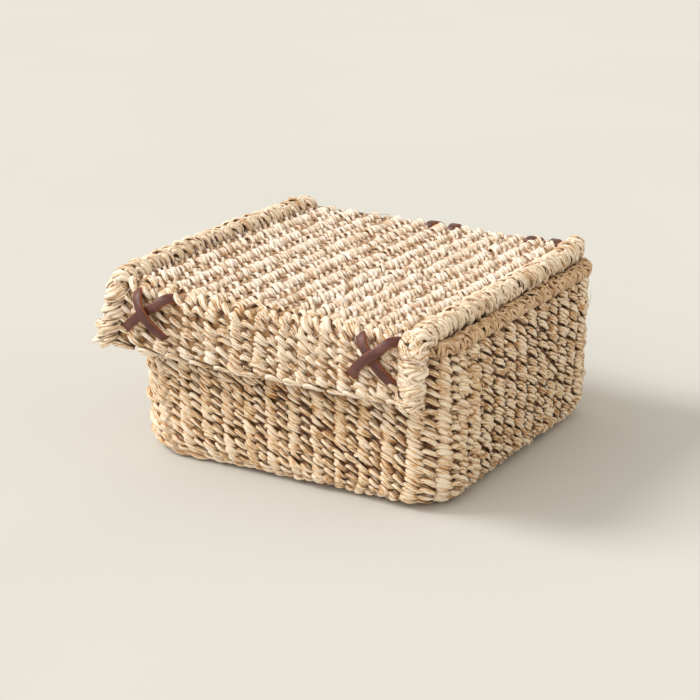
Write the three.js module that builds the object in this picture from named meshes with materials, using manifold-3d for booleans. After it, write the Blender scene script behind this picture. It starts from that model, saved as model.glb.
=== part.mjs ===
/**
 * Woven napkin holder: a twined basket with rounded corners, closed by a mat lid whose front
 * folds down as a flap. Crossed leather laces decorate the flap and tie the lid's rear edge to
 * the back wall, where they work as its hinge.
 *
 * Millimetres. +X runs to the viewer's right along the front, -Y is the front and +Z is up.
 * The origin is the middle of the flat underside.
 */
import * as THREE from 'three';
import { mergeVertices } from 'three/addons/utils/BufferGeometryUtils.js';
import Module from 'manifold-3d';

const wasm = await Module();
wasm.setup();

// Basket
const BODY_WIDTH = 200;
const BODY_DEPTH = 200;
const BODY_HEIGHT = 96;
const RIM_CORNER_RADIUS = 19;
const FOOT_CORNER_RADIUS = 25;
const FOOT_RADIUS = 14;
const WALL_BELLY = 2;
const WALL_THICKNESS = 8;
const WALL_COURSES = 17;
const RIM_HEIGHT = 8;
const RIM_LIP = 0.5;

// Lid
const LID_THICKNESS = 8;
const LID_LEFT_OVERHANG = 7.5;
const LID_RIGHT_SETBACK = 5;
const LID_REAR_SETBACK = 3;
const LID_COURSES = 35;
const LID_LIFT = 4.5;
const LIFT_MIDDLE = -25;
const LIFT_REACH = 135;
const FOLD_INNER_RADIUS = 1.2;
const FLAP_GAP = 4.4;
const FLAP_DROP = 39.3;
const FLAP_SWAY = 1.5;
const FLAP_FLARE = 9;
const FLARE_START = -20;
const BORDER_DIAMETER = 11.5;
const BORDER_TIP_SHARE = 0.6;
const HEM_HEIGHT = 6;

// Leather laces
const LACE_WIDTH = 5.5;
const LACE_THICKNESS = 2.2;
const LACE_BOW = 2.5;
const FRONT_LACE_LEFT_INSET = 29.2;
const FRONT_LACE_RIGHT_INSET = 29.2;
const FRONT_LACE_DROP = 17.8;
const FRONT_LACE_STEEP_HALF = 10.5;
const FRONT_LACE_FLAT_HALF = 14;
const FRONT_LACE_HALF_HEIGHT = 11;
const HINGE_LACE_LIFT = 1;
const HINGE_LACE_LEFT_INSET = 35.4;
const HINGE_LACE_RIGHT_INSET = 30.5;
const HINGE_LACE_TOP_HALF = 8;
const HINGE_LACE_EDGE_HALF = 5;
const HINGE_LACE_FOOT_HALF = 11;
const HINGE_LACE_DROP = 22;

// Fits and fineness
const CLEARANCE = 0.3;
const LEAST_RADIUS = 1;
const COURSE_RELIEF = 0.7;
const COURSE_STEPS = 3;
const CORNER_STEPS = 5;
const SIDE_STEPS = 4;
const CURVE_STEPS = 6;
const ROLL_STEPS = 10;
const LID_COLUMNS = 6;
const LACE_STEPS = 26;
const UPRIGHT_STEPS = 4;
const FLAT_STEPS = 8;

// Places that follow from the sizes
const LID_LEFT = -BODY_WIDTH / 2 - LID_LEFT_OVERHANG;
const LID_RIGHT = BODY_WIDTH / 2 - LID_RIGHT_SETBACK;
const WALL_TOP = BODY_HEIGHT - RIM_HEIGHT - CLEARANCE;
const SEAM_INSET = FOOT_RADIUS;
const INNER_FOOT_RADIUS = Math.max(FOOT_RADIUS - WALL_THICKNESS, LEAST_RADIUS);
const LID_UNDERSIDE = BODY_HEIGHT + CLEARANCE;
const LID_MIDDLE = LID_UNDERSIDE + LID_THICKNESS / 2;
const LID_TOP = LID_UNDERSIDE + LID_THICKNESS;
const LID_REAR = BODY_DEPTH / 2 - LID_REAR_SETBACK;
const FLAP_MIDDLE = -BODY_DEPTH / 2 - FLAP_GAP - LID_THICKNESS / 2;
const FOLD_RADIUS = FOLD_INNER_RADIUS + LID_THICKNESS / 2;
const FOLD_FOOT = LID_MIDDLE - FOLD_RADIUS;
const FLAP_FOOT = LID_TOP - FLAP_DROP;
const FLAP_MAT_FOOT = FLAP_FOOT + HEM_HEIGHT + CLEARANCE;
const BORDER_RADIUS = BORDER_DIAMETER / 2;
const MAT_LEFT = LID_LEFT + BORDER_DIAMETER + CLEARANCE;
const MAT_RIGHT = LID_RIGHT - BORDER_DIAMETER - CLEARANCE;
const FRONT_LACE_LEFT = LID_LEFT + FRONT_LACE_LEFT_INSET;
const FRONT_LACE_RIGHT = LID_RIGHT - FRONT_LACE_RIGHT_INSET;
const FRONT_LACE_MIDDLE = LID_TOP - FRONT_LACE_DROP;
const LACE_CROSSING = LACE_THICKNESS + 2 * CLEARANCE;
const LACE_BEHIND = LID_THICKNESS / 2 + CLEARANCE + LACE_THICKNESS / 2;
const HINGE_INSIDE = BODY_DEPTH / 2 - WALL_THICKNESS - RIM_LIP - CLEARANCE - LACE_THICKNESS / 2;
const HINGE_OUTSIDE = BODY_DEPTH / 2 + WALL_BELLY + CLEARANCE + LACE_THICKNESS / 2;
const HINGE_FOOT = BODY_HEIGHT - HINGE_LACE_DROP;
const HINGE_LACE_LEFT = LID_LEFT + HINGE_LACE_LEFT_INSET;
const HINGE_LACE_RIGHT = LID_RIGHT - HINGE_LACE_RIGHT_INSET;

const twine = { color: 0xcdb28c, roughness: 0.9, metalness: 0 };
const borderTwine = { color: 0xc7a97f, roughness: 0.9, metalness: 0 };
const leather = { color: 0x6a3c38, roughness: 0.55, metalness: 0 };

const { clamp, lerp, mapLinear } = THREE.MathUtils;

/**
 * Joins rings of points, each wound anticlockwise about the direction of travel, into a closed
 * surface. An open run is capped by zipping each end ring across its middle.
 */
function loft(rings, closed) {
  const size = rings[0].length;
  const index = [];
  const spans = closed ? rings.length : rings.length - 1;
  for (let i = 0; i < spans; i += 1) {
    const next = (i + 1) % rings.length;
    for (let j = 0; j < size; j += 1) {
      const k = (j + 1) % size;
      const [a, b, c, d] = [i * size + j, i * size + k, next * size + k, next * size + j];
      index.push(a, b, d, b, c, d);
    }
  }
  if (!closed) {
    const last = (rings.length - 1) * size;
    for (let k = 0; k < size / 2 - 1; k += 1) {
      const [a, b, c, d] = [k, k + 1, size - 2 - k, size - 1 - k];
      index.push(a, c, b, a, d, c);
      index.push(last + a, last + b, last + c, last + a, last + c, last + d);
    }
  }
  const geometry = new THREE.BufferGeometry();
  geometry.setFromPoints(rings.flat());
  geometry.setIndex(index);
  return geometry;
}

/** The solid that a closed, indexed geometry bounds. */
function solid(geometry) {
  const { position } = geometry.attributes;
  return new wasm.Manifold(new wasm.Mesh({
    numProp: 3,
    vertProperties: new Float32Array(position.array),
    triVerts: new Uint32Array(geometry.index.array),
  }));
}

/** The geometry of a solid made by joining or cutting. */
function surface(body) {
  const { vertProperties, triVerts } = body.getMesh();
  const geometry = new THREE.BufferGeometry();
  geometry.setAttribute('position', new THREE.BufferAttribute(vertProperties, 3));
  geometry.setIndex(new THREE.BufferAttribute(triVerts, 1));
  return geometry;
}

/** A named mesh with its own finish. */
function piece(name, geometry, finish) {
  geometry.computeVertexNormals();
  const mesh = new THREE.Mesh(geometry, new THREE.MeshStandardMaterial(finish));
  mesh.name = name;
  return mesh;
}

/** Normal of a sampled plane path at one point, to the right of its direction. */
function normalAt(points, i) {
  const ahead = points[Math.min(i + 1, points.length - 1)];
  const behind = points[Math.max(i - 1, 0)];
  const along = ahead.clone().sub(behind).normalize();
  return new THREE.Vector2(along.y, -along.x);
}

/** Depth of the groove between two courses of twine, by sample along the weave. */
function groove(i) {
  return COURSE_RELIEF * (1 - Math.abs(Math.sin((Math.PI * i) / COURSE_STEPS)));
}

/** Plan radius of the wall's outer corners at a height: they open out towards the foot. */
function cornerAt(z) {
  return lerp(FOOT_CORNER_RADIUS, RIM_CORNER_RADIUS, clamp(z / BODY_HEIGHT, 0, 1));
}

/** Plan of the basket drawn in by an inset, its four sides bowed outwards, anticlockwise. */
function outline(inset, corner, bow) {
  const halfX = BODY_WIDTH / 2 - inset;
  const halfY = BODY_DEPTH / 2 - inset;
  const radius = Math.max(corner, LEAST_RADIUS);
  const points = [];
  for (let turn = 0; turn < 4; turn += 1) {
    const start = (turn * Math.PI) / 2;
    const signX = Math.sign(Math.cos(start + Math.PI / 4));
    const signY = Math.sign(Math.sin(start + Math.PI / 4));
    const centre = new THREE.Vector2(signX * (halfX - radius), signY * (halfY - radius));
    for (let i = 0; i <= CORNER_STEPS; i += 1) {
      const angle = start + ((i / CORNER_STEPS) * Math.PI) / 2;
      points.push(new THREE.Vector2(Math.cos(angle), Math.sin(angle)).multiplyScalar(radius).add(centre));
    }
    const outward = new THREE.Vector2(Math.cos(start + Math.PI / 2), Math.sin(start + Math.PI / 2));
    const along = new THREE.Vector2(-outward.y, outward.x);
    const reach = (turn % 2 === 0 ? halfX : halfY) - radius;
    const distance = turn % 2 === 0 ? halfY : halfX;
    for (let i = 1; i < SIDE_STEPS; i += 1) {
      const t = (2 * i) / SIDE_STEPS - 1;
      const swell = distance + bow * (1 - t * t);
      points.push(outward.clone().multiplyScalar(swell).addScaledVector(along, t * reach));
    }
  }
  return points;
}

/** How far the middle of each wall bows out at a height: nothing at foot and rim. */
function bellyAt(z) {
  const share = clamp((z - FOOT_RADIUS) / (WALL_TOP - FOOT_RADIUS), 0, 1);
  return WALL_BELLY * Math.sin(Math.PI * share);
}

/** Hoop carried round the basket from a closed section of (outward, height, corner radius) points. */
function hoop(section) {
  return loft(section.map((p) => {
    const plan = outline(-p.x, p.z, bellyAt(p.y));
    return plan.map((q) => new THREE.Vector3(q.x, q.y, p.y));
  }), true);
}

/** Twined wall: one band round all four sides, turned in at the foot to meet the base. */
function wallBand() {
  const face = new THREE.Path();
  face.moveTo(-SEAM_INSET, 0);
  face.absarc(-SEAM_INSET, FOOT_RADIUS, FOOT_RADIUS, -Math.PI / 2, 0, false);
  face.lineTo(0, WALL_TOP);
  const samples = face.getSpacedPoints(WALL_COURSES * COURSE_STEPS);
  const outer = samples.map((p, i) => {
    const ribbed = p.clone().addScaledVector(normalAt(samples, i), -groove(i));
    return new THREE.Vector3(ribbed.x, i === 0 ? 0 : ribbed.y, cornerAt(p.y));
  });

  const back = new THREE.Path();
  back.moveTo(-WALL_THICKNESS, WALL_TOP);
  back.lineTo(INNER_FOOT_RADIUS - SEAM_INSET, FOOT_RADIUS);
  back.absarc(-SEAM_INSET, FOOT_RADIUS, INNER_FOOT_RADIUS, 0, -Math.PI / 2, true);
  const inner = back.getPoints(CURVE_STEPS).map((p) => {
    const upright = clamp((p.x + SEAM_INSET) / INNER_FOOT_RADIUS, 0, 1);
    return new THREE.Vector3(p.x, p.y, cornerAt(p.y) - WALL_THICKNESS * upright);
  });
  return hoop([...outer, ...inner]);
}

/** Flat woven base inside the turned-in foot of the wall. */
function baseMat() {
  const plan = new THREE.Shape(outline(SEAM_INSET + CLEARANCE, FOOT_CORNER_RADIUS - CLEARANCE, 0));
  const depth = Math.min(WALL_THICKNESS, FOOT_RADIUS - LEAST_RADIUS);
  const slab = new THREE.ExtrudeGeometry(plan, { depth, bevelEnabled: false });
  slab.deleteAttribute('normal');
  slab.deleteAttribute('uv');
  return mergeVertices(slab);
}

/** Angles of a roll's section, even on both sides so that its end caps zip. */
function rollAngles() {
  return Array.from({ length: ROLL_STEPS }, (_, i) => (2 * Math.PI * (i + 0.5)) / ROLL_STEPS);
}

/** Turned-over border along the top of the wall, an oval roll. */
function rimBorder() {
  const halfWidth = WALL_THICKNESS / 2 + RIM_LIP;
  const section = rollAngles().map((angle) => {
    const outward = halfWidth * Math.cos(angle) - WALL_THICKNESS / 2;
    const height = BODY_HEIGHT + (RIM_HEIGHT / 2) * (Math.sin(angle) - 1);
    return new THREE.Vector3(outward, height, RIM_CORNER_RADIUS + outward);
  });
  return hoop(section);
}

/** Middle line of the lid in (y, z): flat from the rear, then the fold and the flap. */
function lidPath(foot) {
  const foldStart = FLAP_MIDDLE + FOLD_RADIUS;
  const path = new THREE.Path();
  path.moveTo(LID_REAR, LID_MIDDLE);
  for (let i = 1; i <= FLAT_STEPS; i += 1) {
    path.lineTo(lerp(LID_REAR, foldStart, i / FLAT_STEPS), LID_MIDDLE);
  }
  path.absarc(foldStart, FOLD_FOOT, FOLD_RADIUS, Math.PI / 2, Math.PI, false);
  path.lineTo(FLAP_MIDDLE, foot);
  return path;
}

/** Lifts the lid's left side in a low crown, and sways and flares the flap to the left. */
function lean(point) {
  const fall = clamp((FOLD_FOOT - point.z) / (FOLD_FOOT - FLAP_FOOT), 0, 1);
  const side = clamp((FLARE_START - point.x) / (FLARE_START - LID_LEFT), 0, 1);
  const crown = 1 - ((point.y - LIFT_MIDDLE) / LIFT_REACH) ** 2;
  point.x -= fall * (FLAP_SWAY + FLAP_FLARE * side * side);
  point.z += LID_LIFT * crown * side * side;
  return point;
}

/** Lid mat: one woven sheet, its courses running left to right over the top and down the flap. */
function lidMat() {
  const points = lidPath(FLAP_MAT_FOOT).getSpacedPoints(LID_COURSES * COURSE_STEPS);
  const rings = points.map((p, i) => {
    const normal = normalAt(points, i);
    const upper = p.clone().addScaledVector(normal, LID_THICKNESS / 2 - groove(i));
    const lower = p.clone().addScaledVector(normal, -LID_THICKNESS / 2);
    const [under, over] = [lower, upper].map((edge) => Array.from({ length: LID_COLUMNS + 1 }, (_, k) => {
      const x = lerp(MAT_LEFT, MAT_RIGHT, k / LID_COLUMNS);
      return lean(new THREE.Vector3(x, edge.x, edge.y));
    }));
    return [...under, ...over.reverse()];
  });
  return loft(rings, false);
}

/** Rolled border of the lid, along one side of the top and down that end of the flap. */
function sideBorder(x) {
  const path = lidPath(FLAP_FOOT);
  const bends = path.getPoints(CURVE_STEPS);
  const [rear, foot] = [bends[0], bends[bends.length - 1]];
  const tip = BORDER_RADIUS / 2;
  const points = [
    rear,
    new THREE.Vector2(rear.x - tip, rear.y),
    ...bends.slice(1, -1),
    new THREE.Vector2(foot.x, foot.y + tip),
    foot,
  ];
  const lift = BORDER_RADIUS - LID_THICKNESS / 2;
  const rings = points.map((p, i) => {
    const normal = normalAt(points, i);
    const radius = p === rear || p === foot ? BORDER_RADIUS * BORDER_TIP_SHARE : BORDER_RADIUS;
    return rollAngles().map((angle) => {
      const out = p.clone().addScaledVector(normal, lift + radius * Math.sin(angle));
      return lean(new THREE.Vector3(x + radius * Math.cos(angle), out.x, out.y));
    });
  });
  return loft(rings, false);
}

/** Hem along the foot of the flap, between the two side borders. */
function flapHem() {
  const rings = Array.from({ length: LID_COLUMNS + 1 }, (_, k) => {
    const x = lerp(MAT_LEFT, MAT_RIGHT, k / LID_COLUMNS);
    return rollAngles().map((angle) => {
      const y = FLAP_MIDDLE + (LID_THICKNESS / 2) * Math.cos(angle);
      return lean(new THREE.Vector3(x, y, FLAP_FOOT + (HEM_HEIGHT / 2) * (1 + Math.sin(angle))));
    });
  });
  return loft(rings, false);
}

/**
 * Leather strip that follows a plane path, set in space by place(point, share of its length).
 * The extra all round makes it the cutter for its own slots.
 */
function strip(path, steps, place, extra) {
  const flat = path.getSpacedPoints(steps);
  const spine = flat.map((p, i) => place(p, i / steps));
  const rings = flat.map((p, i) => {
    const facing = place(p.clone().add(normalAt(flat, i)), i / steps).sub(spine[i]);
    const along = spine[Math.min(i + 1, steps)].clone().sub(spine[Math.max(i - 1, 0)]).normalize();
    const across = facing.cross(along).normalize();
    const thick = along.clone().cross(across);
    return [[-1, -1], [1, -1], [1, 1], [-1, 1]].map(([a, b]) => spine[i].clone()
      .addScaledVector(across, a * (LACE_WIDTH / 2 + extra))
      .addScaledVector(thick, b * (LACE_THICKNESS / 2 + extra)));
  });
  return solid(loft(rings, false));
}

/** Staple-shaped path of one diagonal: up through the flap, bowed over its face and back in. */
function diagonalPath(reach, bow) {
  const face = LID_THICKNESS / 2;
  const crest = face + LACE_THICKNESS / 2 + bow;
  const path = new THREE.Path();
  path.moveTo(-reach, -LACE_BEHIND);
  path.lineTo(-reach, face);
  path.bezierCurveTo(-reach, crest, -reach / 2, crest, 0, crest);
  path.bezierCurveTo(reach / 2, crest, reach, crest, reach, face);
  path.lineTo(reach, -LACE_BEHIND);
  return path;
}

/** One cross-stitch of lace on the flap: two diagonals, joined by two uprights behind it. */
function frontLace(x, upperSlope, extra) {
  const spot = (right, out, up) => {
    const height = FRONT_LACE_MIDDLE + up;
    return lean(new THREE.Vector3(x + right, FLAP_MIDDLE - out, height));
  };
  const diagonals = [-1, 1].map((slope) => {
    const halfWidth = slope < 0 ? FRONT_LACE_STEEP_HALF : FRONT_LACE_FLAT_HALF;
    const reach = Math.hypot(halfWidth, FRONT_LACE_HALF_HEIGHT);
    const path = diagonalPath(reach, LACE_BOW + (slope === upperSlope ? LACE_CROSSING : 0));
    const place = (p) => spot(
      (p.x * halfWidth) / reach,
      p.y,
      (slope * p.x * FRONT_LACE_HALF_HEIGHT) / reach,
    );
    return strip(path, LACE_STEPS, place, extra);
  });
  const uprights = [-1, 1].map((side) => {
    const path = new THREE.Path();
    path.moveTo(-FRONT_LACE_HALF_HEIGHT - LACE_WIDTH / 2, -LACE_BEHIND);
    path.lineTo(FRONT_LACE_HALF_HEIGHT + LACE_WIDTH / 2, -LACE_BEHIND);
    const ends = [FRONT_LACE_STEEP_HALF, FRONT_LACE_FLAT_HALF].map((half) => side * half);
    const [low, high] = [Math.min(...ends), Math.max(...ends)];
    const across = (up) => mapLinear(up, -FRONT_LACE_HALF_HEIGHT, FRONT_LACE_HALF_HEIGHT, low, high);
    return strip(path, UPRIGHT_STEPS, (p) => spot(across(p.x), p.y, p.x), extra);
  });
  return [...diagonals, ...uprights].reduce((all, next) => all.add(next));
}

/**
 * Side view of one hinge strip in (y, z): up inside the back wall and through the lid, over the
 * lid's rear edge, down outside the wall and back in through it.
 */
function hingePath(bow) {
  const outside = HINGE_OUTSIDE + bow / 2;
  const crest = LID_TOP + LACE_THICKNESS + HINGE_LACE_LIFT;
  const turn = LACE_THICKNESS + CLEARANCE;
  const path = new THREE.Path();
  path.moveTo(HINGE_INSIDE, HINGE_FOOT - LACE_WIDTH / 2);
  path.lineTo(HINGE_INSIDE, LID_TOP);
  path.bezierCurveTo(HINGE_INSIDE, crest, outside, crest, outside, LID_UNDERSIDE);
  path.bezierCurveTo(
    outside + bow, LID_UNDERSIDE - HINGE_LACE_DROP / 3,
    HINGE_OUTSIDE + bow, HINGE_FOOT,
    HINGE_OUTSIDE - turn, HINGE_FOOT,
  );
  path.lineTo(HINGE_INSIDE, HINGE_FOOT);
  return path;
}

/** One hinge lace: two mirrored strips that cross outside the wall, a closed loop of leather. */
function hingeLace(x, extra) {
  const strips = [-1, 1].map((side) => {
    const path = hingePath(side > 0 ? LACE_CROSSING : 0);
    const lengths = path.getCurveLengths();
    const [lidShare, edgeShare, wallShare] = lengths.map((length) => length / lengths[3]);
    const stages = [
      [0, HINGE_LACE_FOOT_HALF],
      [lidShare, HINGE_LACE_TOP_HALF],
      [edgeShare, HINGE_LACE_EDGE_HALF],
      [wallShare, -HINGE_LACE_FOOT_HALF],
      [1, -HINGE_LACE_FOOT_HALF],
    ];
    const place = (p, share) => {
      const k = Math.max(stages.findIndex(([end]) => share <= end), 1);
      const [[from, a], [to, b]] = [stages[k - 1], stages[k]];
      const right = mapLinear(share, from, to, a, b);
      return new THREE.Vector3(x + side * right, p.x, p.y);
    };
    return strip(path, LACE_STEPS, place, extra);
  });
  return strips[0].add(strips[1]);
}

const frontLaces = { front_left_lace: [FRONT_LACE_LEFT, -1], front_right_lace: [FRONT_LACE_RIGHT, 1] };
const hingeLaces = {
  rear_left_hinge_lace: HINGE_LACE_LEFT,
  rear_middle_hinge_lace: (HINGE_LACE_LEFT + HINGE_LACE_RIGHT) / 2,
  rear_right_hinge_lace: HINGE_LACE_RIGHT,
};
const frontSlots = Object.values(frontLaces).map(([x, slope]) => frontLace(x, slope, CLEARANCE));
const hingeSlots = Object.values(hingeLaces).map((x) => hingeLace(x, CLEARANCE));
const cut = (geometry, slots) => surface(slots.reduce((body, slot) => body.subtract(slot), solid(geometry)));

const group = new THREE.Group();
group.add(piece('base_mat', baseMat(), twine));
group.add(piece('wall_band', cut(wallBand(), hingeSlots), twine));
group.add(piece('rim_border', rimBorder(), borderTwine));
group.add(piece('lid_mat', cut(lidMat(), [...frontSlots, ...hingeSlots]), twine));
group.add(piece('lid_left_border', sideBorder(LID_LEFT + BORDER_RADIUS), borderTwine));
group.add(piece('lid_right_border', sideBorder(LID_RIGHT - BORDER_RADIUS), borderTwine));
group.add(piece('flap_hem', flapHem(), borderTwine));
for (const [name, [x, slope]] of Object.entries(frontLaces)) {
  group.add(piece(name, surface(frontLace(x, slope, 0)), leather));
}
for (const [name, x] of Object.entries(hingeLaces)) {
  group.add(piece(name, surface(hingeLace(x, 0)), leather));
}

export default group;
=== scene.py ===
"""Looks of a woven napkin holder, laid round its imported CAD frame.

Woven pieces are worked out in fabric space and then laid on the basket or the lid. Fabric space
has three coordinates in millimetres: u along a course of twine, w across the courses and d out
of the mat, counted from the middle of its thickness.
"""

import logging
import math
from dataclasses import dataclass, field, replace
from enum import Enum, IntEnum
from typing import Any, Optional, Protocol, Sequence, Union

import bpy
import numpy as np
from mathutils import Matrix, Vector


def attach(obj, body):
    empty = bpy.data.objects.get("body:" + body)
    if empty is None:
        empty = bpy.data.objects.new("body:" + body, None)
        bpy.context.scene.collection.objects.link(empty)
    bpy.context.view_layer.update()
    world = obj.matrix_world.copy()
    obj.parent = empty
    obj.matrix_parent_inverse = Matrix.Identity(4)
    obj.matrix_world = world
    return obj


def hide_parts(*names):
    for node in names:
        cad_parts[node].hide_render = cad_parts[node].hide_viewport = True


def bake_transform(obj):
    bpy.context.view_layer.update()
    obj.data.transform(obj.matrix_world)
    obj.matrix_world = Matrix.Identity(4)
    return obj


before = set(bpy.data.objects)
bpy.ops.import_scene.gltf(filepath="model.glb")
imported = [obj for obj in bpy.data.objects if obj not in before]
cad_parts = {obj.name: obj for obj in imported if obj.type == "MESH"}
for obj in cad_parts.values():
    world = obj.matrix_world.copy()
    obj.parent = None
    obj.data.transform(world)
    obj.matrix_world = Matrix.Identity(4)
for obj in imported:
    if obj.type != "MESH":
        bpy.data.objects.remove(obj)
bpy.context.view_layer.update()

LOG = logging.getLogger("napkin_holder")
MM = 0.001

Array = np.ndarray
Point = Sequence[float]
Span = tuple[float, float]
Triple = tuple[float, float, float]

# Fineness of tubes and curves.
SAMPLES_PER_STITCH = 8
SAMPLES_PER_TURN = 36
SAMPLES_PER_ARCH = 14
SAMPLES_PER_CURVE = 24
CORD_SIDES = 6
PLIES = 2

# Shade of the fibre, 0 dark to 1 pale. The stakes' and cores' lower tone is painted shade of the gaps that
# they show through.
MIDDLE_TONE = 0.5
GAP_SHADE_TONE = 0.3
STRAY_TONE = 0.75

# Direction out of the mat in fabric space.
OUTWARD = np.array([0.0, 0.0, 1.0])

# Height in millimetres below which the weave is squeezed flat.
PRESS = 2.0

# Painted shade on a cord's flank, for its finish, where less light reaches. Its back gets twice as much.
FLANK_SHADE = 0.45


class Body(Enum):
    """The two bodies that the pieces ride on."""

    BASKET = "basket"
    LID = "lid"


class Slot(Enum):
    """The record's material slots."""

    TWINE = "twined_fibre"
    BORDER = "border_fibre"
    LEATHER = "lace_leather"


class Seed(IntEnum):
    """Seeds of the hand-made shifts. The flap's end and the wall's stray fibres share one."""

    WALL = 11
    WALL_STAKES = 12
    WALL_STRAYS = 13
    FLAP_END = 13
    RIM_ROLL = 22
    RIM_OUTSIDE = 23
    RIM_INSIDE = 24
    BASE = 31
    BASE_STAKES = 32
    FLAP = 41
    LID_FRONT = 42
    LID_REAR = 43
    LID_STAKES = 44
    LID_STRAYS = 45
    LID_ROLL = 51
    LID_LOOPS = 53
    HEM_LOOPS = 61
    HEM_ROLL = 62


def unit(vectors: Array) -> Array:
    """Vectors scaled to length 1."""
    return vectors / np.maximum(np.linalg.norm(vectors, axis=-1, keepdims=True), 1e-9)


def ease(share: Array) -> Array:
    """Smooth step from 0 to 1: 3 s^2 - 2 s^3 of the clipped share."""
    share = np.clip(share, 0, 1)
    return share * share * (3 - 2 * share)


def pressed(height: Array) -> Array:
    """Heights in the weave's last millimetres, squeezed exponentially so that none sinks into the table."""
    return np.where(height < PRESS, PRESS * np.exp(np.minimum(height, PRESS) / PRESS - 1), height)


def linear(colour: Triple) -> Triple:
    """Linear colour of a screen colour given as three shares."""
    return tuple(c / 12.92 if c <= 0.04045 else ((c + 0.055) / 1.055) ** 2.4 for c in colour)


def wander(rng: np.random.Generator, lines: tuple[int, ...], share: Array, most: int) -> Array:
    """Slow random sway along lines: a sum of six sines of whole frequencies and random phases.

    Args:
        rng: Seeded source of random numbers.
        lines: Shape of the set of lines.
        share: Place along a line, 0 to 1, as one array for all lines.
        most: Highest frequency, in waves per line.

    Returns:
        Values of about unit size, shaped lines by places, equal at both ends.
    """
    waves = 6
    shape = (*lines, 1, waves)
    turns = rng.integers(1, most + 1, size=shape)
    start = rng.uniform(0, 2 * math.pi, size=shape)
    size = rng.normal(0, 1 / math.sqrt(waves / 2), size=shape)
    return np.sum(size * np.sin(2 * math.pi * turns * share[:, None] + start), axis=-1)


def per_stitch(rng: np.random.Generator, lines: tuple[int, ...], stitches: int, spots: Array) -> Array:
    """One random number for each stitch of each line, eased from one stitch to the next.

    Args:
        rng: Seeded source of random numbers.
        lines: Shape of the set of lines.
        stitches: Stitches on a line, after which the numbers repeat.
        spots: Place along a line, counted in stitches.

    Returns:
        Values of about unit size, shaped lines by places.
    """
    values = rng.normal(size=(*lines, stitches))
    low = np.floor(spots).astype(int)
    part = ease(spots - low)
    return values[..., low % stitches] * (1 - part) + values[..., (low + 1) % stitches] * part


def evenly(start: float, end: float, count: int) -> Array:
    """Middles of equal parts of a stretch."""
    return start + (end - start) * (np.arange(count) + 0.5) / count


def bezier(start: Point, pull: Point, draw: Point, end: Point) -> Array:
    """Points of one cubic curve: the four controls weighted by the Bernstein polynomials."""
    t = np.linspace(0, 1, SAMPLES_PER_CURVE)[:, None]
    weights = [(1 - t) ** 3, 3 * t * (1 - t) ** 2, 3 * t * t * (1 - t), t**3]
    return sum(w * np.array(p, float) for w, p in zip(weights, (start, pull, draw, end)))


def even(points: Array, count: int) -> Array:
    """A polyline's points spread again at equal distances along it.

    Args:
        points: Corners of the line, one row each.
        count: Points that come back.

    Returns:
        The new points.
    """
    steps = np.linalg.norm(np.diff(points, axis=0), axis=1)
    length = np.concatenate([[0], np.cumsum(steps)])
    wanted = np.linspace(0, length[-1], count)
    return np.stack([np.interp(wanted, length, axis) for axis in points.T], axis=-1)


def left_normals(line: Array) -> Array:
    """Unit vectors square to a flat line of two coordinates, on its left."""
    return unit(np.gradient(line, axis=0))[:, ::-1] * np.array([-1, 1])


def sweep(centre: Array, facing: Array, section: Array) -> Array:
    """Carries a section along lines: vertex = centre + across * s0 + up * s1.

    Across is the line's direction crossed with the side that it faces, and up is across crossed
    with that direction.

    Args:
        centre: Points of the lines, (..., places, 3).
        facing: Directions that the section's second axis faces, of a shape that fits centre.
        section: Section points, (..., around, 2), of a shape that fits (..., places, around, 2).

    Returns:
        Vertices, (..., places, around, 3).
    """
    along = unit(np.gradient(centre, axis=-2))
    across = unit(np.cross(along, facing))
    up = np.cross(across, along)
    sideways = across[..., None, :] * section[..., :1]
    upwards = up[..., None, :] * section[..., 1:]
    return centre[..., None, :] + sideways + upwards


def circle(sides: int) -> Array:
    """Points of a unit circle, (sides, 2)."""
    angle = 2 * math.pi * np.arange(sides) / sides
    return np.stack([np.cos(angle), np.sin(angle)], axis=-1)


class Face(Protocol):
    """A surface that fabric space is laid on."""

    def place(self, fabric: Array) -> Array:
        """Space points, in millimetres, of fabric points."""


@dataclass
class Bundle:
    """Tubes of one kind in fabric space.

    Attributes:
        points: Vertices, (tubes, places, around, 3).
        fibre: Distance along the tube and two section coordinates at each vertex.
        tone: Shade of the fibre at each place, 0 dark to 1 pale, (tubes, places).
        closed: Whether each tube's end joins its start.
    """

    points: Array
    fibre: Array
    tone: Array
    closed: bool

    def part(self, first: int, last: int) -> "Bundle":
        """The tubes from first up to last."""
        chosen = slice(first, last)
        return Bundle(self.points[chosen], self.fibre[chosen], self.tone[chosen], self.closed)

    def faces(self) -> tuple[Array, Array]:
        """Quads between neighbouring rings and, on open tubes, one many-sided face at each end.

        Returns:
            The corners of all faces in a row, and the place in that row where each face starts.
        """
        tubes, places, around = self.points.shape[:3]
        index = np.arange(tubes * places * around).reshape(tubes, places, around)
        ahead = np.roll(index, -1, axis=1)
        near = index if self.closed else index[:, :-1]
        far = ahead if self.closed else ahead[:, :-1]
        quads = np.stack([near, far, np.roll(far, -1, axis=2), np.roll(near, -1, axis=2)], axis=-1)
        corners = [quads.ravel()]
        starts = [4 * np.arange(quads.size // 4)]
        if not self.closed:
            caps = np.concatenate([index[:, 0], index[:, -1, ::-1]])
            corners.append(caps.ravel())
            starts.append(quads.size + around * np.arange(2 * tubes))
        return np.concatenate(corners), np.concatenate(starts)


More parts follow.
